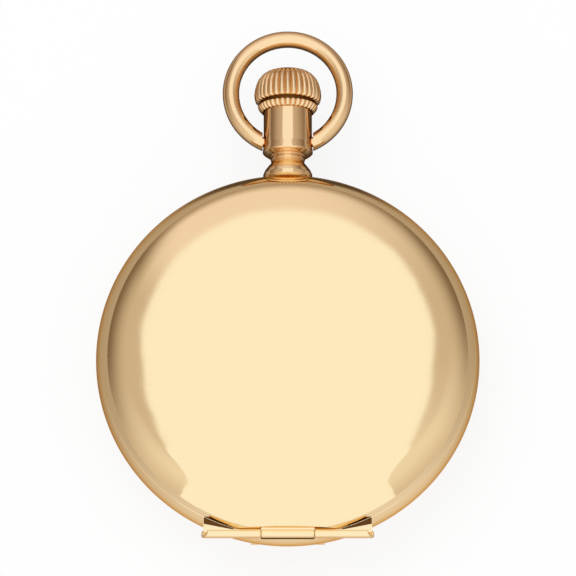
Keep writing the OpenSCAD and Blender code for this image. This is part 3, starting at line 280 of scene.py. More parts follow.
def ranged(tree, value, span, result=(0.0, 1.0), **settings):
    """A value, carried from one span to another."""
    return add(tree, "ShaderNodeMapRange", {
        "Value": value, "From Min": span[0], "From Max": span[1], "To Min": result[0], "To Max": result[1]},
        **settings).outputs[0]


def blended(tree, share, first, second):
    """A colour between two others."""
    return add(tree, "ShaderNodeMix", {0: share, 6: first, 7: second}, data_type="RGBA").outputs[2]


def worn(tree, shader, value, span, roughness):
    """Lets a pattern drive the roughness, and gives that roughness back."""
    rough = ranged(tree, value, span, roughness)
    tree.links.new(rough, shader.inputs["Roughness"])
    return rough


def bumped(tree, shader, height, distance, strength):
    """Lets a pattern tilt the shading, over a distance in millimetres."""
    bump = add(tree, "ShaderNodeBump", {"Height": height, "Distance": distance * MM, "Strength": strength})
    tree.links.new(bump.outputs[0], shader.inputs["Normal"])


def new_finish(name, colour, **values):
    """A material with its shader, and its coordinates in millimetres."""
    material = bpy.data.materials.new(name)
    material.use_nodes = True
    tree = material.node_tree
    shader = tree.nodes["Principled BSDF"]
    shader.inputs["Base Color"].default_value = linear(colour)
    for key, value in values.items():
        shader.inputs[key.replace("_", " ")].default_value = value
    place = add(tree, "ShaderNodeTexCoord")
    return material, tree, shader, mapped(tree, place.outputs["Object"], (1000, 1000, 1000))


def buffed(name, colour, edge, rough, haze, ripple):
    """Buffed metal, such as 14 carat gold: hairlines from handling over a faint ripple of the polish. A
    hairline is some 0.02 mm wide and would not show, so they are drawn about 0.15 mm wide."""
    material, tree, shader, mm = new_finish(name, colour, Metallic=1.0)
    shader.inputs["Specular Tint"].default_value = linear(edge)
    strokes = noise(tree, mapped(tree, mm, (5.0, 0.22, 1.4), (0, 0, 0.6)), 1.0, 3.0)
    others = noise(tree, mapped(tree, mm, (0.3, 6.0, 1.1), (0.4, 0, -1.1)), 1.0, 2.0)
    crossed = calc(tree, "MAXIMUM", strokes, others)
    hairlines = worn(tree, shader, crossed, (0.58, 0.74), (rough, rough + haze))
    waves = noise(tree, mm, 0.16, 1.5)
    bumped(tree, shader, calc(tree, "MULTIPLY_ADD", hairlines, 0.02, waves), ripple, 1.0)
    return material


# 14 carat gold: outside, inside, and warmer and less bright on pendant, bow and crown
POLISHED_GOLD = buffed("polished_gold", "#FEE9BC", "#E2B67C", 0.05, 0.04, 0.01)
INNER_GOLD = buffed("polished_inner_gold", "#F8D69A", "#D9A566", 0.10, 0.08, 0.01)
WARM_GOLD = buffed("buffed_warm_gold", "#FBDDB0", "#C98F58", 0.09, 0.05, 0.005)
# Painted shade: dark brown gold laid where shade falls, in the crown's crease and the corners of the hinge
PAINTED_SHADE_GOLD = buffed("painted_shade_gold", "#6B4722", "#3C2411", 0.42, 0.2, 0.01)
# Drawn brass wire of the hinge pins
HINGE_BRASS = buffed("drawn_brass_wire", "#D9A765", "#A06A35", 0.25, 0.1, 0.004)


def streaked(name, colour, rough, spread, scale):
    """A worked metal whose gloss changes from place to place, with grain of the given size per millimetre."""
    material, tree, shader, mm = new_finish(name, colour, Metallic=1.0)
    grain = noise(tree, mm, scale, 4.0)
    worn(tree, shader, grain, (0.3, 0.7), (rough, rough + spread))
    bumped(tree, shader, grain, 0.002, 0.6)
    return material


# Hardened and polished steel of the winding wheels and springs: cool grey, with faint lapping marks
STEEL = streaked("lapped_steel", "#C4C7CC", 0.14, 0.14, 3.0)
# Steel tempered to deep blue for hands and screws: an oxide colour over a polished face
BLUED = streaked("blued_steel", "#24407F", 0.16, 0.1, 2.0)
# Gilded brass of the wheels: soft yellow, grained finely before gilding
GILT = streaked("gilded_brass", "#E2BE78", 0.26, 0.12, 6.0)


def striped_nickel():
    """Nickel-plated brass with damascened stripes 1.4 mm wide, whose sheen changes from stripe to stripe."""
    material, tree, shader, mm = new_finish("damascened_nickel", "#CFCBC2", Metallic=1.0)
    aslant = mapped(tree, mm, (1, 1, 1), (0, 0, 0.52))
    # The wave repeats after 2 pi / 20 of its scale's unit
    stripes = add(tree, "ShaderNodeTexWave", {"Vector": aslant, "Scale": 0.2244, "Distortion": 0.0},
                  wave_type="BANDS", bands_direction="X", wave_profile="SAW").outputs["Fac"]
    ruled = noise(tree, mapped(tree, aslant, (1.2, 22.0, 1.0)), 1.0, 2.0)
    worn(tree, shader, stripes, (0.0, 1.0), (0.16, 0.38))
    bumped(tree, shader, calc(tree, "MULTIPLY_ADD", ruled, 0.3, stripes), 0.03, 1.0)
    return material


NICKEL = striped_nickel()


def fired_enamel(name, colour, rough):
    """Vitreous enamel on copper: glassy, faintly uneven from the kiln, with slight clouding of its colour."""
    material, tree, shader, mm = new_finish(name, colour, Roughness=rough, IOR=1.52)
    shader.inputs["Coat Weight"].default_value = 0.6
    shader.inputs["Coat Roughness"].default_value = 0.05
    kiln = noise(tree, mm, 0.35, 2.0)
    base = linear(colour)
    dim = tuple(c * 0.94 for c in base[:3]) + (1.0,)
    tree.links.new(blended(tree, kiln, base, dim), shader.inputs["Base Color"])
    bumped(tree, shader, kiln, 0.01, 0.5)
    return material


ENAMEL = fired_enamel("fired_white_enamel", "#F4F0E2", 0.16)
# Black enamel of the figures, fired onto the white
FIGURES = fired_enamel("fired_black_enamel", "#15130F", 0.22)


def clear(name, colour, ior, rough, weight):
    """A polished clear solid: watch glass or ruby, with a trace of dust haze in its gloss."""
    material, tree, shader, mm = new_finish(name, colour, IOR=ior)
    shader.inputs["Transmission Weight"].default_value = weight
    worn(tree, shader, noise(tree, mm, 0.8, 5.0), (0.5, 0.8), (rough, rough + 0.03))
    return material


# Mineral watch glass: colourless, ground and polished
GLASS = clear("mineral_glass", "#FFFFFF", 1.45, 0.0, 1.0)
# Synthetic ruby of the bearings: deep pink, glassy
RUBY = clear("synthetic_ruby", "#C2123F", 1.76, 0.03, 0.5)


# Case

# Lip of the lid that the catch holds: its inner radius and its thickness
LIP_R, LIP_T = 23.95, 0.22
# Angle of the round edge at the front seam
SEAM_TURN = 27.3
# The straight wall's round face lies this far inside its shell's and its flat face this far outside the
# shell's cut, so that no two faces coincide
INSET, OUTSET = 0.02, 0.03
# Inner radius of the turned section that a straight wall is cut from, and its segments, start and sweep
WALL_IN, WALL_TURN = 15.0, (360, 230, 80)
# A web ends this far inside the ends of its knuckle
WEB_INSET = 0.02


def straight_wall(section, face_y):
    """Flat wall of a straight edge, cut from a turned section."""
    wall = lathe(section, *WALL_TURN)
    cut(wall, (0, face_y, 0), (0, -1, 0))
    return cut(wall, (0, face_y + WALL_T, 0), (0, 1, 0))


def front_lid():
    """Domed shell with its lip, straight wall and middle knuckle."""
    z0 = SEAM_FRONT + SEAM_GAP / 2
    lip_top = z0 + LIP_T
    lip_turn = math.degrees(math.asin((lip_top - Z_MID) / (SIDE_R - WALL)))
    outer = (arc(FRONT_C, FRONT_R, 90, FRONT_JOIN, 40)
             + arc(SIDE_C, SIDE_R, FRONT_JOIN, SEAM_TURN, 40)[1:-1])
    inner = (arc(SIDE_C, SIDE_R - WALL, lip_turn, FRONT_JOIN, 20)[1:]
             + arc(FRONT_C, FRONT_R - WALL, FRONT_JOIN, 90, 24)[1:])
    edge = [(side_at(z0), z0, 0.12), (LIP_R, z0), (LIP_R, lip_top), (side_at(lip_top, WALL), lip_top)]
    rim = rounded([outer[-1]] + edge + [inner[0]], 0.05, closed=False)
    shell = lathe(outer[:-1] + rim + inner[1:], 360)
    cut(shell, (0, WALL_Y + OUTSET, 0), (0, -1, 0))
    face = (arc(SIDE_C, SIDE_R - INSET, SEAM_TURN - 0.1, FRONT_JOIN, 30)
            + arc(FRONT_C, FRONT_R - INSET, FRONT_JOIN, 78, 3)[1:])
    wall = straight_wall([(WALL_IN, z0 + 0.004)] + face + [(WALL_IN, face[-1][1])], WALL_Y)
    y, z, _, pin = HINGE
    end, web_end = LID_KNUCKLE - SIDE_PLAY, LID_KNUCKLE - WEB_INSET
    near, far = y + 0.36, WALL_Y + 0.2
    web = rounded([(near, z + 0.42), (far, z + 0.55), (far, z0), (near, z0)], 0.02)
    return joined(shell, wall, barrel(HINGE, -end, end, pin + PIN_PLAY), across(web, -web_end, web_end))


def ring_profile(trench):
    """Section of the middle ring, with or without the trench for the lid's springs."""
    z0, z1 = SEAM_BACK + SEAM_GAP / 2, SEAM_FRONT - SEAM_GAP / 2
    rim_top, rim_low = 11.2, 4.6
    step_r, step_z = RING_R + 0.3, 9.6
    half = math.degrees(math.asin((z1 - Z_MID) / SIDE_R))
    outer = arc(SIDE_C, SIDE_R, -half, half, 40)
    corners = [(outer[0][0], z0, 0.1)] + [(*p, 0) for p in outer[1:-1]] + [(outer[-1][0], z1, 0.1)]
    if trench:
        r0, r1, floor = TRENCH
        corners += [(r1, z1, 0.04), (r1, floor, 0.1), (r0, floor, 0.1), (r0, z1 - 0.02, 0)]
    corners += [(RIM_R, z1, 0.02), (RIM_R, rim_top, 0.12), (step_r, rim_top, 0.05), (step_r, step_z, 0.02),
                (RING_R, step_z, 0.04), (RING_R, rim_low, 0.08), (RIM_R, rim_low, 0.12), (RIM_R, z0, 0.02)]
    return rounded(corners, 0.05)


def case_ring():
    """The middle ring in parts: its turn with the trench, its plain turn, then the outer knuckles of both
    hinges on their sunk webs, and the leaves of the front hinge."""
    a0, a1 = TRENCH_A
    parts = [lathe(ring_profile(True), 180, a0, a1 - a0), lathe(ring_profile(False), 190, a1, 360 - a1 + a0)]
    root_y = -RIM_R - 0.2
    for hinge, half, inner, down, set_back in (
            (HINGE, HINGE_HALF, LID_KNUCKLE + SIDE_PLAY, 1, 0.3),
            (BACK_HINGE, BACK_HALF, BACK_KNUCKLE + SIDE_PLAY, -1, 0.04)):
        y, z, r, pin = hinge
        web = rounded([(y - r * 0.93, z - down * 0.2, 0.3), (y + r * 0.8, z - down * 0.3),
                       (y + r * 0.8, z - down * 1.0), (root_y, z - down * 1.0), (root_y, z - down * 1.9),
                       (y + r, z - down * 2.0, 0.6), (y - r * 0.62, z - down * 1.15, 0.4)], 0.05, 6)
        for side in (-1, 1):
            tube = barrel(hinge, *sorted((side * inner, side * half)), pin + 0.01)
            if down > 0:
                # The outer end is filed aslant, so its bore shows from above
                cut(tube, (side * (half - 0.42), y, z), (side * 0.78, 0.12, 0.61))
            parts += [tube, across(web, *sorted((side * (inner + 0.04), side * (half - set_back))))]
    # A wedge stays between each leaf and the lid's round edge, darkened further on by painted shade
    y, tip = HINGE[0], HINGE_HALF - 0.3
    leaf = rounded([(6.5, y), (tip, y), (tip, y + 1.2), (7.5, y + 0.42), (6.5, y + 0.42)], 0.15)
    for side in (-1, 1):
        parts.append(slab([(side * px, py) for px, py in leaf], SEAM_FRONT - 1.08, SEAM_FRONT + 0.5))
    return parts


def lid_groove(hinge, half):
    """Solid that is cut from the ring where a lid's knuckle turns."""
    y, z, r, _ = hinge
    return across(arc((y, z), r + 0.24, 0, 350, 35), -half, half)


def carved(bm, *tools):
    """The mesh with the tools cut out of it."""
    objects = []
    for part in (bm, *tools):
        mesh = bpy.data.meshes.new("carving")
        part.to_mesh(mesh)
        part.free()
        objects.append(bpy.data.objects.new("carving", mesh))
        bpy.context.scene.collection.objects.link(objects[-1])
    body = objects[0]
    for tool in objects[1:]:
        bite = body.modifiers.new("bite", "BOOLEAN")
        bite.operation, bite.solver, bite.object = "DIFFERENCE", "EXACT", tool
    result = bmesh.new()
    result.from_mesh(body.evaluated_get(bpy.context.evaluated_depsgraph_get()).to_mesh())
    for made in objects:
        bpy.data.objects.remove(made)
    return result


def hinge_corner_shade():
    """Painted shade in the corner between each leaf and the lid's round edge, and on the floor of the lid's
    groove.
    """
    y, z, r, _ = HINGE
    tip = HINGE_HALF - 0.35
    # Along X from the middle, and along Y from the hinge's axis
    corner = [(7.4, 0.4), (tip, 1.15), (tip, 2.17), (10.0, 1.58), (9.0, 1.17), (8.0, 0.83), (7.4, 0.64)]
    wedges = [slab([(side * px, y + d) for px, d in corner], z - 0.6, z + 0.06) for side in (-1, 1)]
    floor = arc((y, z), r + 0.14, 222, 310, 16) + arc((y, z), r + 0.28, 310, 222, 16)
    return joined(*wedges, across(floor, -LID_KNUCKLE, LID_KNUCKLE))


piece("front_lid_shell", front_lid(), POLISHED_GOLD, "front_lid", ["front_lid"])

trench_turn, plain_turn, *fittings = case_ring()
plain_turn = carved(plain_turn, lid_groove(HINGE, LID_KNUCKLE + SIDE_PLAY),
                    lid_groove(BACK_HINGE, BACK_KNUCKLE + SIDE_PLAY))
# Dark slabs in the hinge's corners and the lid's groove: painted shade
piece("hinge_corner_shade", hinge_corner_shade(), PAINTED_SHADE_GOLD, "root", [])
piece("case_ring", joined(trench_turn, plain_turn, *fittings), POLISHED_GOLD, "root", ["case_centre"])
for node, (y, z, _, r), half in (("front_hinge_pin", HINGE, HINGE_HALF - 1.3),
                                 ("back_hinge_pin", BACK_HINGE, BACK_HALF - 0.2)):
    section = rounded([(0, -half), (r, -half), (r, half), (0, half)], 0.06, closed=False)
    wire = turned(lathe(section, 32), along_x(y, z))
    piece(node + "_wire", wire, HINGE_BRASS, "root", [node])


def back_cover():
    """Dished shell with its straight wall and two knuckles."""
    z1 = SEAM_BACK - SEAM_GAP / 2
    join = math.degrees(math.atan2(SIDE_C[1] - BACK_C[1], SIDE_C[0] - BACK_C[0]))
    top = math.degrees(math.asin((z1 - Z_MID) / SIDE_R))
    top_in = math.degrees(math.asin((z1 - Z_MID) / (SIDE_R - WALL)))
    outer = arc(BACK_C, BACK_R, -90, join, 30) + arc(SIDE_C, SIDE_R, join, top, 30)[1:]
    inner = arc(SIDE_C, SIDE_R - WALL, top_in, join, 20) + arc(BACK_C, BACK_R - WALL, join, -90, 24)[1:]
    shell = lathe([(0, 0)] + outer + inner + [(0, WALL)], 360)
    cut(shell, (0, BACK_WALL_Y + OUTSET, 0), (0, -1, 0))
    face = arc(SIDE_C, SIDE_R - INSET, join, top, 30)
    wall = straight_wall([(WALL_IN, face[0][1])] + face + [(WALL_IN, z1 - 0.004)], BACK_WALL_Y)
    y, z, r, pin = BACK_HINGE
    inner_x = INNER_KNUCKLE + SIDE_PLAY
    # The cuvette's web passes through the middle of the wall
    opening = [(y - 1, z - 1.05), (y + 1.5, z - 1.05), (y + 1.5, z + 1), (y - 1, z + 1)]
    wall = carved(wall, across(opening, -inner_x, inner_x))
    near, far = y + 0.3, BACK_WALL_Y + 0.2
    web = rounded([(near, z - r + 0.05), (far, z - 1.05), (far, z1), (near, z1)], 0.02)
    parts = [shell]
    for x0, x1 in ((-BACK_KNUCKLE, -inner_x), (inner_x, BACK_KNUCKLE)):
        parts += [barrel(BACK_HINGE, x0, x1, pin + PIN_PLAY), across(web, x0 + WEB_INSET, x1 - WEB_INSET)]
    return joined(*parts, wall)


piece("back_cover_shell", back_cover(), POLISHED_GOLD, "back_cover", ["back_cover"])


def cuvette():
    """Inner dust cover: a thin dish with a snapping skirt, and its knuckle."""
    thick, r = 0.4, BACK_R - WALL - 0.3
    inside, outside = RIM_R + 0.05, RIM_R + 0.85
    top, z0 = SEAM_BACK - 0.06, BACK_R - r
    lower = arc(BACK_C, r, -90, -math.degrees(math.acos((outside - BACK_C[0]) / r)), 40)
    upper = arc(BACK_C, r - thick, -math.degrees(math.acos((inside - BACK_C[0]) / (r - thick))), -90, 40)
    rim = [(outside, lower[-1][1], 0.15), (outside, top, 0.1), (inside, top, 0.1), (inside, upper[0][1], 0.1)]
    skirt = rounded([lower[-2]] + rim + [upper[1]], 0.05, closed=False)[1:-1]
    shell = lathe([(0, z0)] + lower[:-1] + skirt + upper[1:] + [(0, z0 + thick)], 300)
    y, z, _, pin = BACK_HINGE
    knuckle = barrel(BACK_HINGE, -INNER_KNUCKLE, INNER_KNUCKLE, pin + PIN_PLAY)
    near, far, web_end = y + 0.3, -inside - 0.2, INNER_KNUCKLE - WEB_INSET
    web = [(near, z - 0.4), (far, z - 0.9), (far, z - 0.06), (near, z - 0.06)]
    return joined(shell, knuckle, across(web, -web_end, web_end))


piece("cuvette_shell", cuvette(), INNER_GOLD, "cuvette", ["cuvette"])


def bezel():
    """Ring that holds the glass. It is narrower beside the catch."""
    top, bore, notch_r = 12.516, 21.02, 22.9
    inner, floor = RIM_R + 0.02, top - 0.52
    corners = [(inner, 10.36, 0.05), (23.3, 10.36, 0.15), (23.3, 11.3, 0.3), (22.55, 11.95, 0.5),
               (bore + 0.55, top - 0.1, 0.3), (bore, top + 0.02, 0.06), (bore, floor, 0.02),
               (20.3, floor, 0.05), (20.3, floor - 0.25, 0.08), (20.7, floor - 0.4, 0.05),
               (21.9, floor - 0.4, 0.02), (21.9, 11.2, 0.02), (inner, 11.2, 0.02)]
    notched = [(min(r, notch_r), z, own) for r, z, own in corners]
    del notched[3]
    whole, narrow = rounded(corners, 0.05, 5), rounded(notched, 0.05, 5)
    return joined(lathe(whole, 330, 98, 344), lathe(narrow, 16, 82, 16))


piece("bezel_ring", bezel(), POLISHED_GOLD, "root", ["bezel"])


def watch_glass():
    """Shallow dome with a ground edge."""
    curve_r, edge_r, top, thick = 124.5, 21.0, 14.3, 0.5
    low = math.degrees(math.acos(edge_r / curve_r))
    centre = (0, top - curve_r)
    outer, inner = arc(centre, curve_r, 90, low, 40), arc(centre, curve_r - thick, low, 90, 40)
    edge = [(edge_r - 0.02, outer[-1][1]), (edge_r, outer[-1][1] - 0.06), (edge_r, inner[0][1])]
    return lathe([(0, top)] + outer[1:-1] + edge + inner[1:-1] + [(0, top - thick)], 256)


piece("watch_glass", watch_glass(), GLASS, "root", ["crystal"])


# Pendant, bow and crown, turned about the stem's axis: heights here run along +Y


def pendant():
    """Foot, waist with two beads, wider collar and plain tube, bored for the stem and its sleeve."""
    base, shoulder, top = 25.45, 31.95, 35.4
    stem_bore, sleeve_bore, tube_r = 1.14, 2.2, 3.3
    section = [(1.5, base - 0.3, 0), (1.5, base, 0), (3.1, base, 0.05), (3.34, base + 0.28, 0.2),
               (3.36, base + 0.82, 0.25), (3.14, base + 1.35, 0.5), (2.74, base + 1.9, 0.7),
               (2.38, base + 2.35, 0.3), (2.1, base + 2.68, 0.12), (2.34, base + 2.84, 0.12),
               (2.34, base + 3.04, 0.12), (2.12, base + 3.19, 0.08), (2.44, base + 3.34, 0.08),
               (2.44, base + 3.46, 0.04), (2.85, base + 3.56, 0.1), (tube_r, base + 3.88, 0.06),
               (3.43, base + 4.02, 0.06), (3.4, base + 4.3, 0.3), (tube_r, base + 5.1, 0.5),
               (tube_r, top, 0.12), (sleeve_bore, top, 0.06), (sleeve_bore, shoulder, 0),
               (stem_bore, shoulder, 0), (stem_bore, base - 0.3, 0)]
    return turned(lathe(rounded(section, 0.05, 6), 192), STEM_AXIS)


piece("pendant_turning", pendant(), WARM_GOLD, "root", ["pendant"])


def bow():
    """Ring of round wire, open at the pendant, with a boss and a pivot at each end."""
    centre_y, ring, wire, end_x, pivot_y = 38.0232, 7.78, 1.13, 3.45, 31.05
    sections, around = 200, 40
    bm = bmesh.new()
    verts = []
    for i in range(sections + 1):
        row = []
        for j in range(around):
            b = 2 * math.pi * j / around
            reach = ring + wire * math.cos(b)
            # Each line along the wire ends where it meets the plane beside the pendant
            end = math.acos(end_x / reach)
            a = -end + (math.pi + 2 * end) * i / sections
            x, y = reach * math.cos(a), centre_y + reach * math.sin(a)
            row.append(bm.verts.new((x, y, Z_MID + wire * math.sin(b))))
        verts.append(row)
    for low, high in zip(verts, verts[1:]):
        for j in range(around):
            k = (j + 1) % around
            bm.faces.new((low[j], low[k], high[k], high[j]))
    bm.faces.new(verts[0])
    bm.faces.new(verts[-1][::-1])
    bmesh.ops.recalc_face_normals(bm, faces=bm.faces)
    parts = [bm]
    boss = rounded([(0, 2.35, 0), (0.7, 2.35, 0.1), (0.7, 4.05, 0), (0, 4.05, 0)], 0.05, closed=False)
    for side in (-1, 1):
        parts.append(turned(lathe(boss, 40), along_x(pivot_y, Z_MID, side)))
    return joined(*parts)


piece("bow_ring", bow(), WARM_GOLD, "bow", ["bow"])


# Geometry Nodes trees


def new_tree(name, **kinds):
    """A tree with named inputs of these kinds: Int, Float or Material."""
    tree = bpy.data.node_groups.new(name, "GeometryNodeTree")
    tree.interface.new_socket("Geometry", in_out="OUTPUT", socket_type="NodeSocketGeometry")
    for key, kind in kinds.items():
        tree.interface.new_socket(key, in_out="INPUT", socket_type="NodeSocket" + kind)
    return tree, add(tree, "NodeGroupInput"), add(tree, "NodeGroupOutput")


def grown(tree, **sizes):
    """The plain mesh that a tree makes with these inputs."""
    holder = bpy.data.objects.new("growing", bpy.data.meshes.new("growing"))
    bpy.context.scene.collection.objects.link(holder)
    modifier = holder.modifiers.new("tree", "NODES")
    modifier.node_group = tree
    for item in tree.interface.items_tree:
        if item.in_out == "INPUT" and item.name in sizes:
            modifier[item.identifier] = sizes[item.name]
    holder.update_tag()
    graph = bpy.context.evaluated_depsgraph_get()
    mesh = bpy.data.meshes.new_from_object(holder.evaluated_get(graph), depsgraph=graph)
    bpy.data.objects.remove(holder)
    return mesh


def coated(tree, geometry, given, out):
    """Ends a tree with the material among its inputs."""
    coat = add(tree, "GeometryNodeSetMaterial", {"Geometry": geometry, "Material": given.outputs["Finish"]})
    tree.links.new(coat.outputs[0], out.inputs[0])
    return tree


def real(tree, geometry):
    """Geometry with its instances made real."""
    return add(tree, "GeometryNodeRealizeInstances", {"Geometry": geometry}).outputs[0]


# Flutes around the crown, columns of the grid for each, and rows along its outline
FLUTES, FLUTE_COLUMNS, CROWN_ROWS = 32, 14, 120
# Outline of the crown from its top: radius, height along the stem and share of the flutes' depth
CROWN_OUTLINE = [
    (0.0, 6.3, 0), (1.2, 6.27, 0), (2.1, 6.18, 0.05), (2.6, 6.08, 0.45), (3.1, 5.87, 0.85), (3.6, 5.47, 1),
    (4.02, 4.92, 1), (4.33, 4.25, 1), (4.5, 3.55, 1), (4.57, 2.95, 1), (4.56, 2.5, 1), (4.5, 2.15, 1),
    (4.42, 1.88, 1), (4.24, 1.74, 1), (3.9, 1.68, 0.4), (3.46, 1.62, 0), (3.46, 1.56, 0), (3.9, 1.3, 0.5),
    (4.1, 1.2, 1), (4.1, 1.1, 1), (3.96, 0.82, 1), (3.72, 0.5, 1), (3.6, 0.4, 0.6), (3.5, 0.35, 0.2),
    (3.42, 0.35, 0), (3.42, 0.5, 0), (3.42, 1.45, 0), (0.0, 1.45, 0)]
# What each column is divided by, because a curve node holds values from 0 to 1
OUTLINE_SPANS = (5.0, 6.3, 1.0)


def crown_tree():
    """Fluted crown: a grid rolled about Y, with curves along its outline for radius, height and flutes."""
    tree, given, out = new_tree("fluted_crown", Flutes="Int", Depth="Float", Finish="Material")
    reach = [0.0]
    for a, b in zip(CROWN_OUTLINE, CROWN_OUTLINE[1:]):
        reach.append(reach[-1] + math.dist(a[:2], b[:2]))
    grid = add(tree, "GeometryNodeMeshGrid", {
        "Size X": 1.0, "Size Y": 1.0, "Vertices X": FLUTES * FLUTE_COLUMNS + 1, "Vertices Y": CROWN_ROWS})
    place = add(tree, "ShaderNodeSeparateXYZ", {0: add(tree, "GeometryNodeInputPosition").outputs[0]})
    along = calc(tree, "ADD", place.outputs["Y"], 0.5)
    angle = calc(tree, "MULTIPLY", place.outputs["X"], 2 * math.pi)
    curves = []
    for column, span in enumerate(OUTLINE_SPANS):
        curve = add(tree, "ShaderNodeFloatCurve", {"Value": along})
        points = curve.mapping.curves[0].points
        while len(points) < len(CROWN_OUTLINE):
            points.new(0.5, 0.5)
        for point, spot, length in zip(points, CROWN_OUTLINE, reach):
            point.location = (length / reach[-1], spot[column] / span)
            point.handle_type = "VECTOR"
        curve.mapping.update()
        curves.append(calc(tree, "MULTIPLY", curve.outputs[0], span))
    radius, height, fade = curves
    turns = calc(tree, "MULTIPLY", angle, given.outputs["Flutes"])
    wave = calc(tree, "SINE", calc(tree, "MULTIPLY", turns, 0.5))
    lobe = calc(tree, "POWER", calc(tree, "ABSOLUTE", wave), 0.5)
    groove = calc(tree, "MULTIPLY", calc(tree, "SUBTRACT", 1.0, lobe), given.outputs["Depth"])
    wide = calc(tree, "SUBTRACT", radius, calc(tree, "MULTIPLY", groove, fade))
    x = calc(tree, "MULTIPLY", wide, calc(tree, "COSINE", angle))
    z = calc(tree, "MULTIPLY", wide, calc(tree, "SINE", angle))
    spot = add(tree, "ShaderNodeCombineXYZ", {"X": x, "Y": height, "Z": z})
    rolled = add(tree, "GeometryNodeSetPosition", {
        "Geometry": grid.outputs["Mesh"], "Position": spot.outputs[0]})
    closed = add(tree, "GeometryNodeMergeByDistance", {"Geometry": rolled.outputs[0], "Distance": 0.0005})
    return coated(tree, real(tree, closed.outputs[0]), given, out)


def tidied(mesh, place):
    """The mesh as a bmesh in place, with its doubles merged and its faces outwards."""
    bm = bmesh.new()
    bm.from_mesh(mesh)
    bmesh.ops.remove_doubles(bm, verts=bm.verts, dist=1e-4)
    bmesh.ops.recalc_face_normals(bm, faces=bm.faces)
    return turned(bm, place)


# Lower end of the crown along the stem
CROWN_BASE = 34.9
crown_mesh = grown(crown_tree(), Flutes=FLUTES, Depth=0.36, Finish=WARM_GOLD)
half_flute = math.radians(0.5 * 360 / FLUTES)
crown_place = Matrix.Translation((0, CROWN_BASE, Z_MID)) @ Matrix.Rotation(half_flute, 4, "Y")
# A dark ring set in the crown's crease: painted shade
crease = lathe([(3.5, 1.24), (3.84, 1.3), (3.84, 1.72), (3.5, 1.78)], 96)
turned(crease, Matrix.Translation((0, CROWN_BASE, 0)) @ STEM_AXIS)
piece("crown_crease_shade", crease, PAINTED_SHADE_GOLD, "crown", [])
piece("fluted_crown", tidied(crown_mesh, crown_place), WARM_GOLD, "crown", ["crown"], sharp=50)


def marks_tree():
    """A ring of bars that point at its centre, such as a minute track."""
    tree, given, out = new_tree("ring_of_marks", Count="Int", Radius="Float", Length="Float", Width="Float",
                                Height="Float", Lift="Float", Finish="Material")
    size = given.outputs
    circle = add(tree, "GeometryNodeMeshCircle", {"Vertices": size["Count"], "Radius": size["Radius"]})
    spot = add(tree, "ShaderNodeSeparateXYZ", {0: add(tree, "GeometryNodeInputPosition").outputs[0]})
    angle = calc(tree, "ARCTAN2", spot.outputs["Y"], spot.outputs["X"])
    aim = add(tree, "ShaderNodeCombineXYZ", {"Z": angle})
    block = add(tree, "ShaderNodeCombineXYZ", {"X": size["Length"], "Y": size["Width"], "Z": size["Height"]})
    bar = add(tree, "GeometryNodeMeshCube", {"Size": block.outputs[0]})
    bars = add(tree, "GeometryNodeInstanceOnPoints", {
        "Points": circle.outputs[0], "Instance": bar.outputs["Mesh"], "Rotation": aim.outputs[0]})
    lift = add(tree, "ShaderNodeCombineXYZ", {"Z": size["Lift"]})
    raised = add(tree, "GeometryNodeTransform", {
        "Geometry": real(tree, bars.outputs[0]), "Translation": lift.outputs[0]})
    return coated(tree, raised.outputs[0], given, out)


def spring_tree():
    """A flat coiled strip, such as a hairspring."""
    tree, given, out = new_tree("coiled_strip", Turns="Float", Inside="Float", Outside="Float",
                                Width="Float", Height="Float", Finish="Material")
    size = given.outputs
    coil = add(tree, "GeometryNodeCurveSpiral", {
        "Resolution": 60, "Rotations": size["Turns"], "Start Radius": size["Inside"],
        "End Radius": size["Outside"], "Height": 0.0})
    strip = add(tree, "GeometryNodeCurvePrimitiveQuadrilateral", {
        "Width": size["Width"], "Height": size["Height"]})
    swept = add(tree, "GeometryNodeCurveToMesh", {
        "Curve": coil.outputs[0], "Profile Curve": strip.outputs[0], "Fill Caps": True})
    return coated(tree, real(tree, swept.outputs[0]), given, out)


# Dial: twelve is toward -X, three toward the crown, so the watch reads upright when it hangs from a pocket

# The enamel of the figures stands this high, and its underside lies this deep in the dial.
INK_T, SUNK = 0.02, 0.01
MARKS = marks_tree()


def track(top, radius, rings, minutes, fives, half, segments, place):
    """Bars for the minutes, stouter ones for every fifth, and rings of this half width. A bar is (length,
    width)."""
    parts = []
    for count, (length, width), lift in ((60, minutes, 0), (12, fives, 0.003)):
        bars = grown(MARKS, Count=count, Radius=radius, Length=length, Width=width, Height=INK_T * 2,
                     Lift=top + lift, Finish=FIGURES)
        parts.append(tidied(bars, place))
    low, high = top - SUNK, top + INK_T + 0.006
    for r in rings:
        section = [(r - half, low), (r + half, low), (r + half, high), (r - half, high)]
        parts.append(turned(lathe(section, segments), place))
    return parts


# Strokes of a letter: where top and foot stand beside the letter's middle, and the thickness
STROKES = {"I": [(0.0, 0.0, 0.62)],
           "V": [(-0.82, 0.0, 0.6), (0.82, 0.0, 0.18)],
           "X": [(-0.8, 0.8, 0.6), (0.8, -0.8, 0.18)]}
WIDTHS = {"I": 1.0, "V": 2.5, "X": 2.5}
FIGURE_H, FIGURE_FOOT = 3.7, 14.35
# A serif sticks out this far beside its stroke, and is twice this thick
SERIF_OUT, SERIF_HALF = 0.22, 0.07
# Each bar of a figure is this much higher than the last, so that no two faces coincide
BAR_STEP = 0.0008


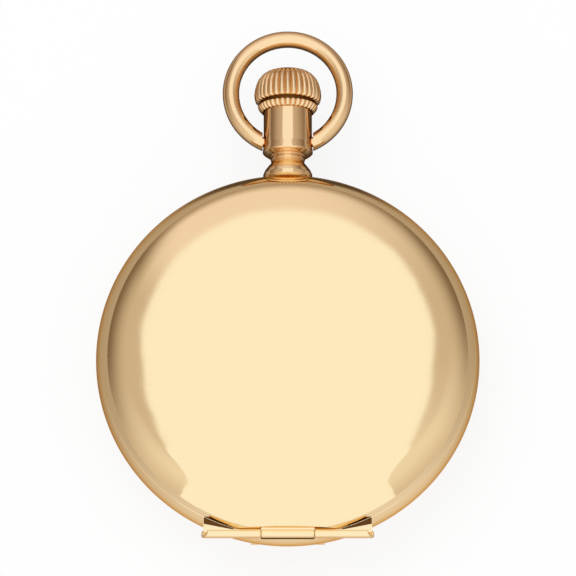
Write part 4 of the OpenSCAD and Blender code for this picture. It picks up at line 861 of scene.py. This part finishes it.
def figure(letters, degrees):
    """A Roman figure that stands on the dial with its top outwards, of thick and thin strokes with serifs."""
    bars = []
    x = -sum(WIDTHS[c] for c in letters) / 2
    for letter in letters:
        middle = x + WIDTHS[letter] / 2
        x += WIDTHS[letter]
        for top, foot, thick in STROKES[letter]:
            half = thick / 2
            low, high = middle + foot, middle + top
            bars.append([(low - half, 0), (low + half, 0), (high + half, FIGURE_H), (high - half, FIGURE_H)])
            for end, y in ((low, 0.0), (high, FIGURE_H)):
                # The strokes of a V meet in a point
                if letter == "V" and y == 0.0:
                    continue
                left, right = end - half - SERIF_OUT, end + half + SERIF_OUT
                under, over = y - SERIF_HALF, y + SERIF_HALF
                bars.append([(left, under), (right, under), (right, over), (left, over)])
    outward, sideways = Vector(polar(1, degrees)), Vector(polar(1, degrees - 90))
    parts = []
    for level, corners in enumerate(bars, 1):
        outline = [tuple(sideways * px + outward * (FIGURE_FOOT + py)) for px, py in corners]
        parts.append(slab(outline, DIAL_TOP - SUNK, DIAL_TOP + INK_T + level * BAR_STEP))
    return parts


ink = track(DIAL_TOP, radius=19.35, rings=(18.85, 19.85), minutes=(0.9, 0.12), fives=(0.94, 0.42), half=0.05,
            segments=240, place=Matrix())
for hour, letters in enumerate(("XII", "I", "II", "III", "IIII", "V", None, "VII", "VIII", "IX", "X", "XI")):
    if letters:
        ink += figure(letters, 180 - 30 * hour)
piece("dial_figures", joined(*ink), FIGURES, "root", sharp=20)
ink = track(SUB_TOP, radius=4.1, rings=(3.8, 4.4), minutes=(0.5, 0.07), fives=(0.62, 0.16), half=0.03,
            segments=120, place=Matrix.Translation((*SECONDS_P, 0)))
piece("seconds_figures", joined(*ink), FIGURES, "root", sharp=20)

hair = grown(spring_tree(), Turns=8.0, Inside=0.8, Outside=3.4, Width=0.07, Height=0.2, Finish=BLUED)
hair = tidied(hair, Matrix.Translation((*BALANCE_P, 5.05)))
collet = lathe([(0.33, 4.92), (0.8, 4.92), (0.8, 5.35), (0.33, 5.35)], 40)
turned(collet, Matrix.Translation((*BALANCE_P, 0)))
piece("hairspring_coil", joined(hair, collet), BLUED, "balance", ["hairspring"])

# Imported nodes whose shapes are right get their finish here, by the slot in the record
FINISHES = {
    "polished_steel": STEEL, "blued_steel": BLUED, "gilt_brass": GILT, "nickel": NICKEL, "ruby": RUBY,
    "enamel": ENAMEL, "inner_gold": INNER_GOLD, "warm_gold": WARM_GOLD, "polished_gold": POLISHED_GOLD,
    "glass": GLASS, "hinge_brass": HINGE_BRASS,
}
for row in frame["record"]["subparts"]:
    node = frame["nodes"][row["node"]]
    for slot in node.material_slots:
        slot.material = FINISHES[row["material_slot"]]


# Stage, light and camera


def plane(name, corners, finish, faces=None):
    """Adds a part of the studio, in metres: one face through its corners, or the faces given."""
    mesh = bpy.data.meshes.new(name)
    mesh.from_pydata(corners, [], faces or [tuple(range(len(corners)))])
    mesh.materials.append(finish)
    made = bpy.data.objects.new(name, mesh)
    bpy.context.scene.collection.objects.link(made)
    return made


def bare_material(name):
    """A material without its shader, and its tree."""
    material = bpy.data.materials.new(name)
    material.use_nodes = True
    tree = material.node_tree
    tree.nodes.remove(tree.nodes["Principled BSDF"])
    return material, tree


def seen_directly(tree, **settings):
    """Whether a ray comes from the camera, a mirror or glass."""
    ray = add(tree, "ShaderNodeLightPath").outputs
    both = calc(tree, "ADD", ray["Is Camera Ray"], ray["Is Glossy Ray"])
    return calc(tree, "ADD", both, ray["Is Transmission Ray"], **settings)


WHITE = (1, 1, 1, 1)
# Tone of the paper, the share of it that shows as plain white, and the level of the light all around
PAPER, PLAIN_SHARE, SKY_LEVEL = 0.9, 0.85, 0.85


def paper():
    """White paper: camera, mirrors and glass see it white, but for the share of its own tone that holds the
    shadow."""
    material, tree = bare_material("white_paper")
    matt = add(tree, "ShaderNodeBsdfDiffuse", {"Color": (PAPER, PAPER, PAPER, 1)})
    lit = add(tree, "ShaderNodeEmission", {"Color": WHITE, "Strength": 1.0})
    share = calc(tree, "MULTIPLY", seen_directly(tree), PLAIN_SHARE, use_clamp=True)
    mixed = add(tree, "ShaderNodeMixShader", {0: share, 1: matt.outputs[0], 2: lit.outputs[0]})
    tree.links.new(mixed.outputs[0], tree.nodes["Material Output"].inputs["Surface"])
    return material


# Middle of the crown and the bow in metres, and how far around it a card's painted shade reaches
CROWN_SPOT, SHADE_REACH = (0, 0.038, 0), (0.011, 0.026)
# Share of the card's height over which the light above spills over its top edge
SPILL = (0.945, 1.005)
SOFTLY = {"interpolation_type": "SMOOTHSTEP"}


def card(name, columns, shade=1.0):
    """Glowing tan card of the studio, around the watch. A column is one plain fade up the card, as (foot,
    head, sine of the foot, sine of the head), and the two angles from the crown's side, left to right,
    between which it takes over from the column before. The shade is the share of its light that a card keeps
    at the crown: a painted shadow of crown and bow, as the card itself takes no shadow."""
    material, tree = bare_material(name)
    spot = add(tree, "ShaderNodeTexCoord").outputs["Object"]
    sight = add(tree, "ShaderNodeVectorMath", {0: spot}, operation="NORMALIZE")
    axes = add(tree, "ShaderNodeSeparateXYZ", {0: sight.outputs[0]}).outputs
    bearing = calc(tree, "ARCTAN2", axes["X"], axes["Y"])
    mixed = None
    for start, end, (foot, head, low_sine, high_sine) in columns:
        ramp = add(tree, "ShaderNodeValToRGB", {0: axes["Z"]})
        ramp.color_ramp.interpolation = "EASE"
        for stop, sine, colour in zip(ramp.color_ramp.elements, (low_sine, high_sine), (foot, head)):
            stop.position, stop.color = sine, (*colour, 1)
        if mixed is None:
            mixed = ramp.outputs[0]
            continue
        turn = math.radians(start), math.radians(end)
        mixed = blended(tree, ranged(tree, bearing, turn, **SOFTLY), mixed, ramp.outputs[0])
    climb = add(tree, "ShaderNodeAttribute", attribute_name="climb").outputs["Fac"]
    mixed = blended(tree, ranged(tree, climb, SPILL, **SOFTLY), mixed, WHITE)
    from_crown = add(tree, "ShaderNodeVectorMath", {0: spot, 1: CROWN_SPOT}, operation="DISTANCE")
    level = ranged(tree, from_crown.outputs["Value"], SHADE_REACH, (shade, 1.0), **SOFTLY)
    lit = add(tree, "ShaderNodeEmission", {"Color": mixed, "Strength": level})
    tree.links.new(lit.outputs[0], tree.nodes["Material Output"].inputs["Surface"])
    return material


def unseen(made):
    """Leaves a card to the reflections alone."""
    made.visible_camera = made.visible_diffuse = made.visible_shadow = made.visible_transmission = False


plane("floor", [(-3, -3, 0), (3, -3, 0), (3, 3, 0), (-3, 3, 0)], paper())
# The tall card stands around the crown's side and both flanks and is open in front. Its radius and the
# height of its foot are in metres, its step and its half sweep in degrees.
CARD_R, CARD_FOOT, CARD_STEP, CARD_HALF = 0.5, 0.002, 3, 135
CROWN_SIDE = ((0.44, 0.33, 0.26), (0.88, 0.77, 0.72), 0.06, 0.52)
SHOULDER = ((0.22, 0.15, 0.1), (0.62, 0.52, 0.44), 0.05, 0.9)
FLANK = ((0.7, 0.6, 0.52), (0.86, 0.79, 0.71), 0.0, 0.95)
# Height of its top edge as the watch sees it, by the angle from the middle, both in degrees
CARD_EDGE = [(0, 49.8), (10, 50), (17, 50.8), (28, 52.6), (40, 56.2), (50, 59), (60, 62.9), (72, 66),
             (79, 67.9), (90, 70), (106, 69), (117, 64.5), (124, 58.5), (129, 51), (132, 41), (134, 30),
             (CARD_HALF, 12)]


def edge_height(turn):
    """Height of the card's top edge in metres, at an angle from its middle."""
    for (a0, e0), (a1, e1) in zip(CARD_EDGE, CARD_EDGE[1:]):
        if turn <= a1:
            return CARD_R * math.tan(math.radians(e0 + (e1 - e0) * (turn - a0) / (a1 - a0)))


feet, heads = [], []
for turn in range(-CARD_HALF, CARD_HALF + 1, CARD_STEP):
    x, y = polar(CARD_R, 90 - turn)
    feet.append((x, y, CARD_FOOT))
    heads.append((x, y, edge_height(abs(turn))))
last = len(feet) * 2 - 1
tall_card = plane("curved_card", feet + heads[::-1], card("curved_card", [
    (0, 0, FLANK), (-122, -70, SHOULDER), (-46, -26, CROWN_SIDE), (0, 48, SHOULDER), (54, 106, FLANK)]),
    [(i, i + 1, last - 1 - i, last - i) for i in range(len(feet) - 1)])
climb = tall_card.data.attributes.new("climb", "FLOAT", "POINT")
climb.data.foreach_set("value", [0.0] * len(feet) + [1.0] * len(heads))
unseen(tall_card)
# The second card lies on the floor, under the watch
# Near the crown the table card's light drops to TABLE_SHADE: a painted shadow of crown and bow
TABLE_Z, TABLE_STEP, TABLE_SHADE = 0.0006, 6, 0.22
TABLE_BACK = ((0.47, 0.39, 0.33), (0.47, 0.39, 0.33), 0.0, 1.0)
TABLE_FRONT = ((0.82, 0.74, 0.7), (0.82, 0.74, 0.7), 0.0, 1.0)
table_ring = [(*polar(CARD_R, a), TABLE_Z) for a in range(0, 360, TABLE_STEP)]
unseen(plane("table_card", table_ring, card("table_card", [
    (0, 0, TABLE_FRONT), (-163, -88, TABLE_BACK), (72, 147, TABLE_FRONT)], TABLE_SHADE)))

world = bpy.data.worlds.new("studio")
bpy.context.scene.world = world
world.use_nodes = True
sky = world.node_tree
plain = sky.nodes["Background"]
plain.inputs["Color"].default_value = WHITE
plain.inputs["Strength"].default_value = SKY_LEVEL
bright = add(sky, "ShaderNodeBackground", {"Color": WHITE, "Strength": 1.0})
mixed = add(sky, "ShaderNodeMixShader", {
    0: seen_directly(sky, use_clamp=True), 1: plain.outputs[0], 2: bright.outputs[0]})
sky.links.new(mixed.outputs[0], sky.nodes["World Output"].inputs["Surface"])

# Soft light from above, at the crown's side and somewhat to the left, in metres
lamp = bpy.data.lights.new("softbox", "AREA")
lamp.shape, lamp.size, lamp.size_y, lamp.energy = "RECTANGLE", 0.8, 0.8, 3.2
softbox = bpy.data.objects.new("softbox", lamp)
softbox.location = (-0.25, 0.35, 0.9)
softbox.rotation_euler = (Vector((0, 0.01, 0)) - softbox.location).to_track_quat("-Z", "Y").to_euler()
softbox.visible_glossy = softbox.visible_camera = False
bpy.context.scene.collection.objects.link(softbox)

# The photograph's view: its height above the case's plane at the hinge's side, its distance in metres, its
# scale, the spot in its middle, its width in pixels, and the width of the camera's sensor in millimetres
ELEVATION = math.radians(73)
DISTANCE, PIXELS_PER_MM = 1.2, 7.376
TARGET = Vector((0.03, 9.345, 10.649)) * MM
PICTURE, SENSOR = 576, 36.0
camera_data = bpy.data.cameras.new("camera")
camera_data.sensor_width = SENSOR
camera_data.lens = SENSOR * DISTANCE / (PICTURE / PIXELS_PER_MM * MM)
camera_data.clip_start, camera_data.clip_end = 0.01, 20
camera = bpy.data.objects.new("camera", camera_data)
back = Vector((0, -math.cos(ELEVATION), math.sin(ELEVATION)))
camera.location = TARGET + back * DISTANCE
camera.rotation_euler = (-back).to_track_quat("-Z", "Y").to_euler()
bpy.context.scene.collection.objects.link(camera)
bpy.context.scene.camera = camera
bpy.context.scene.view_settings.view_transform = "Standard"
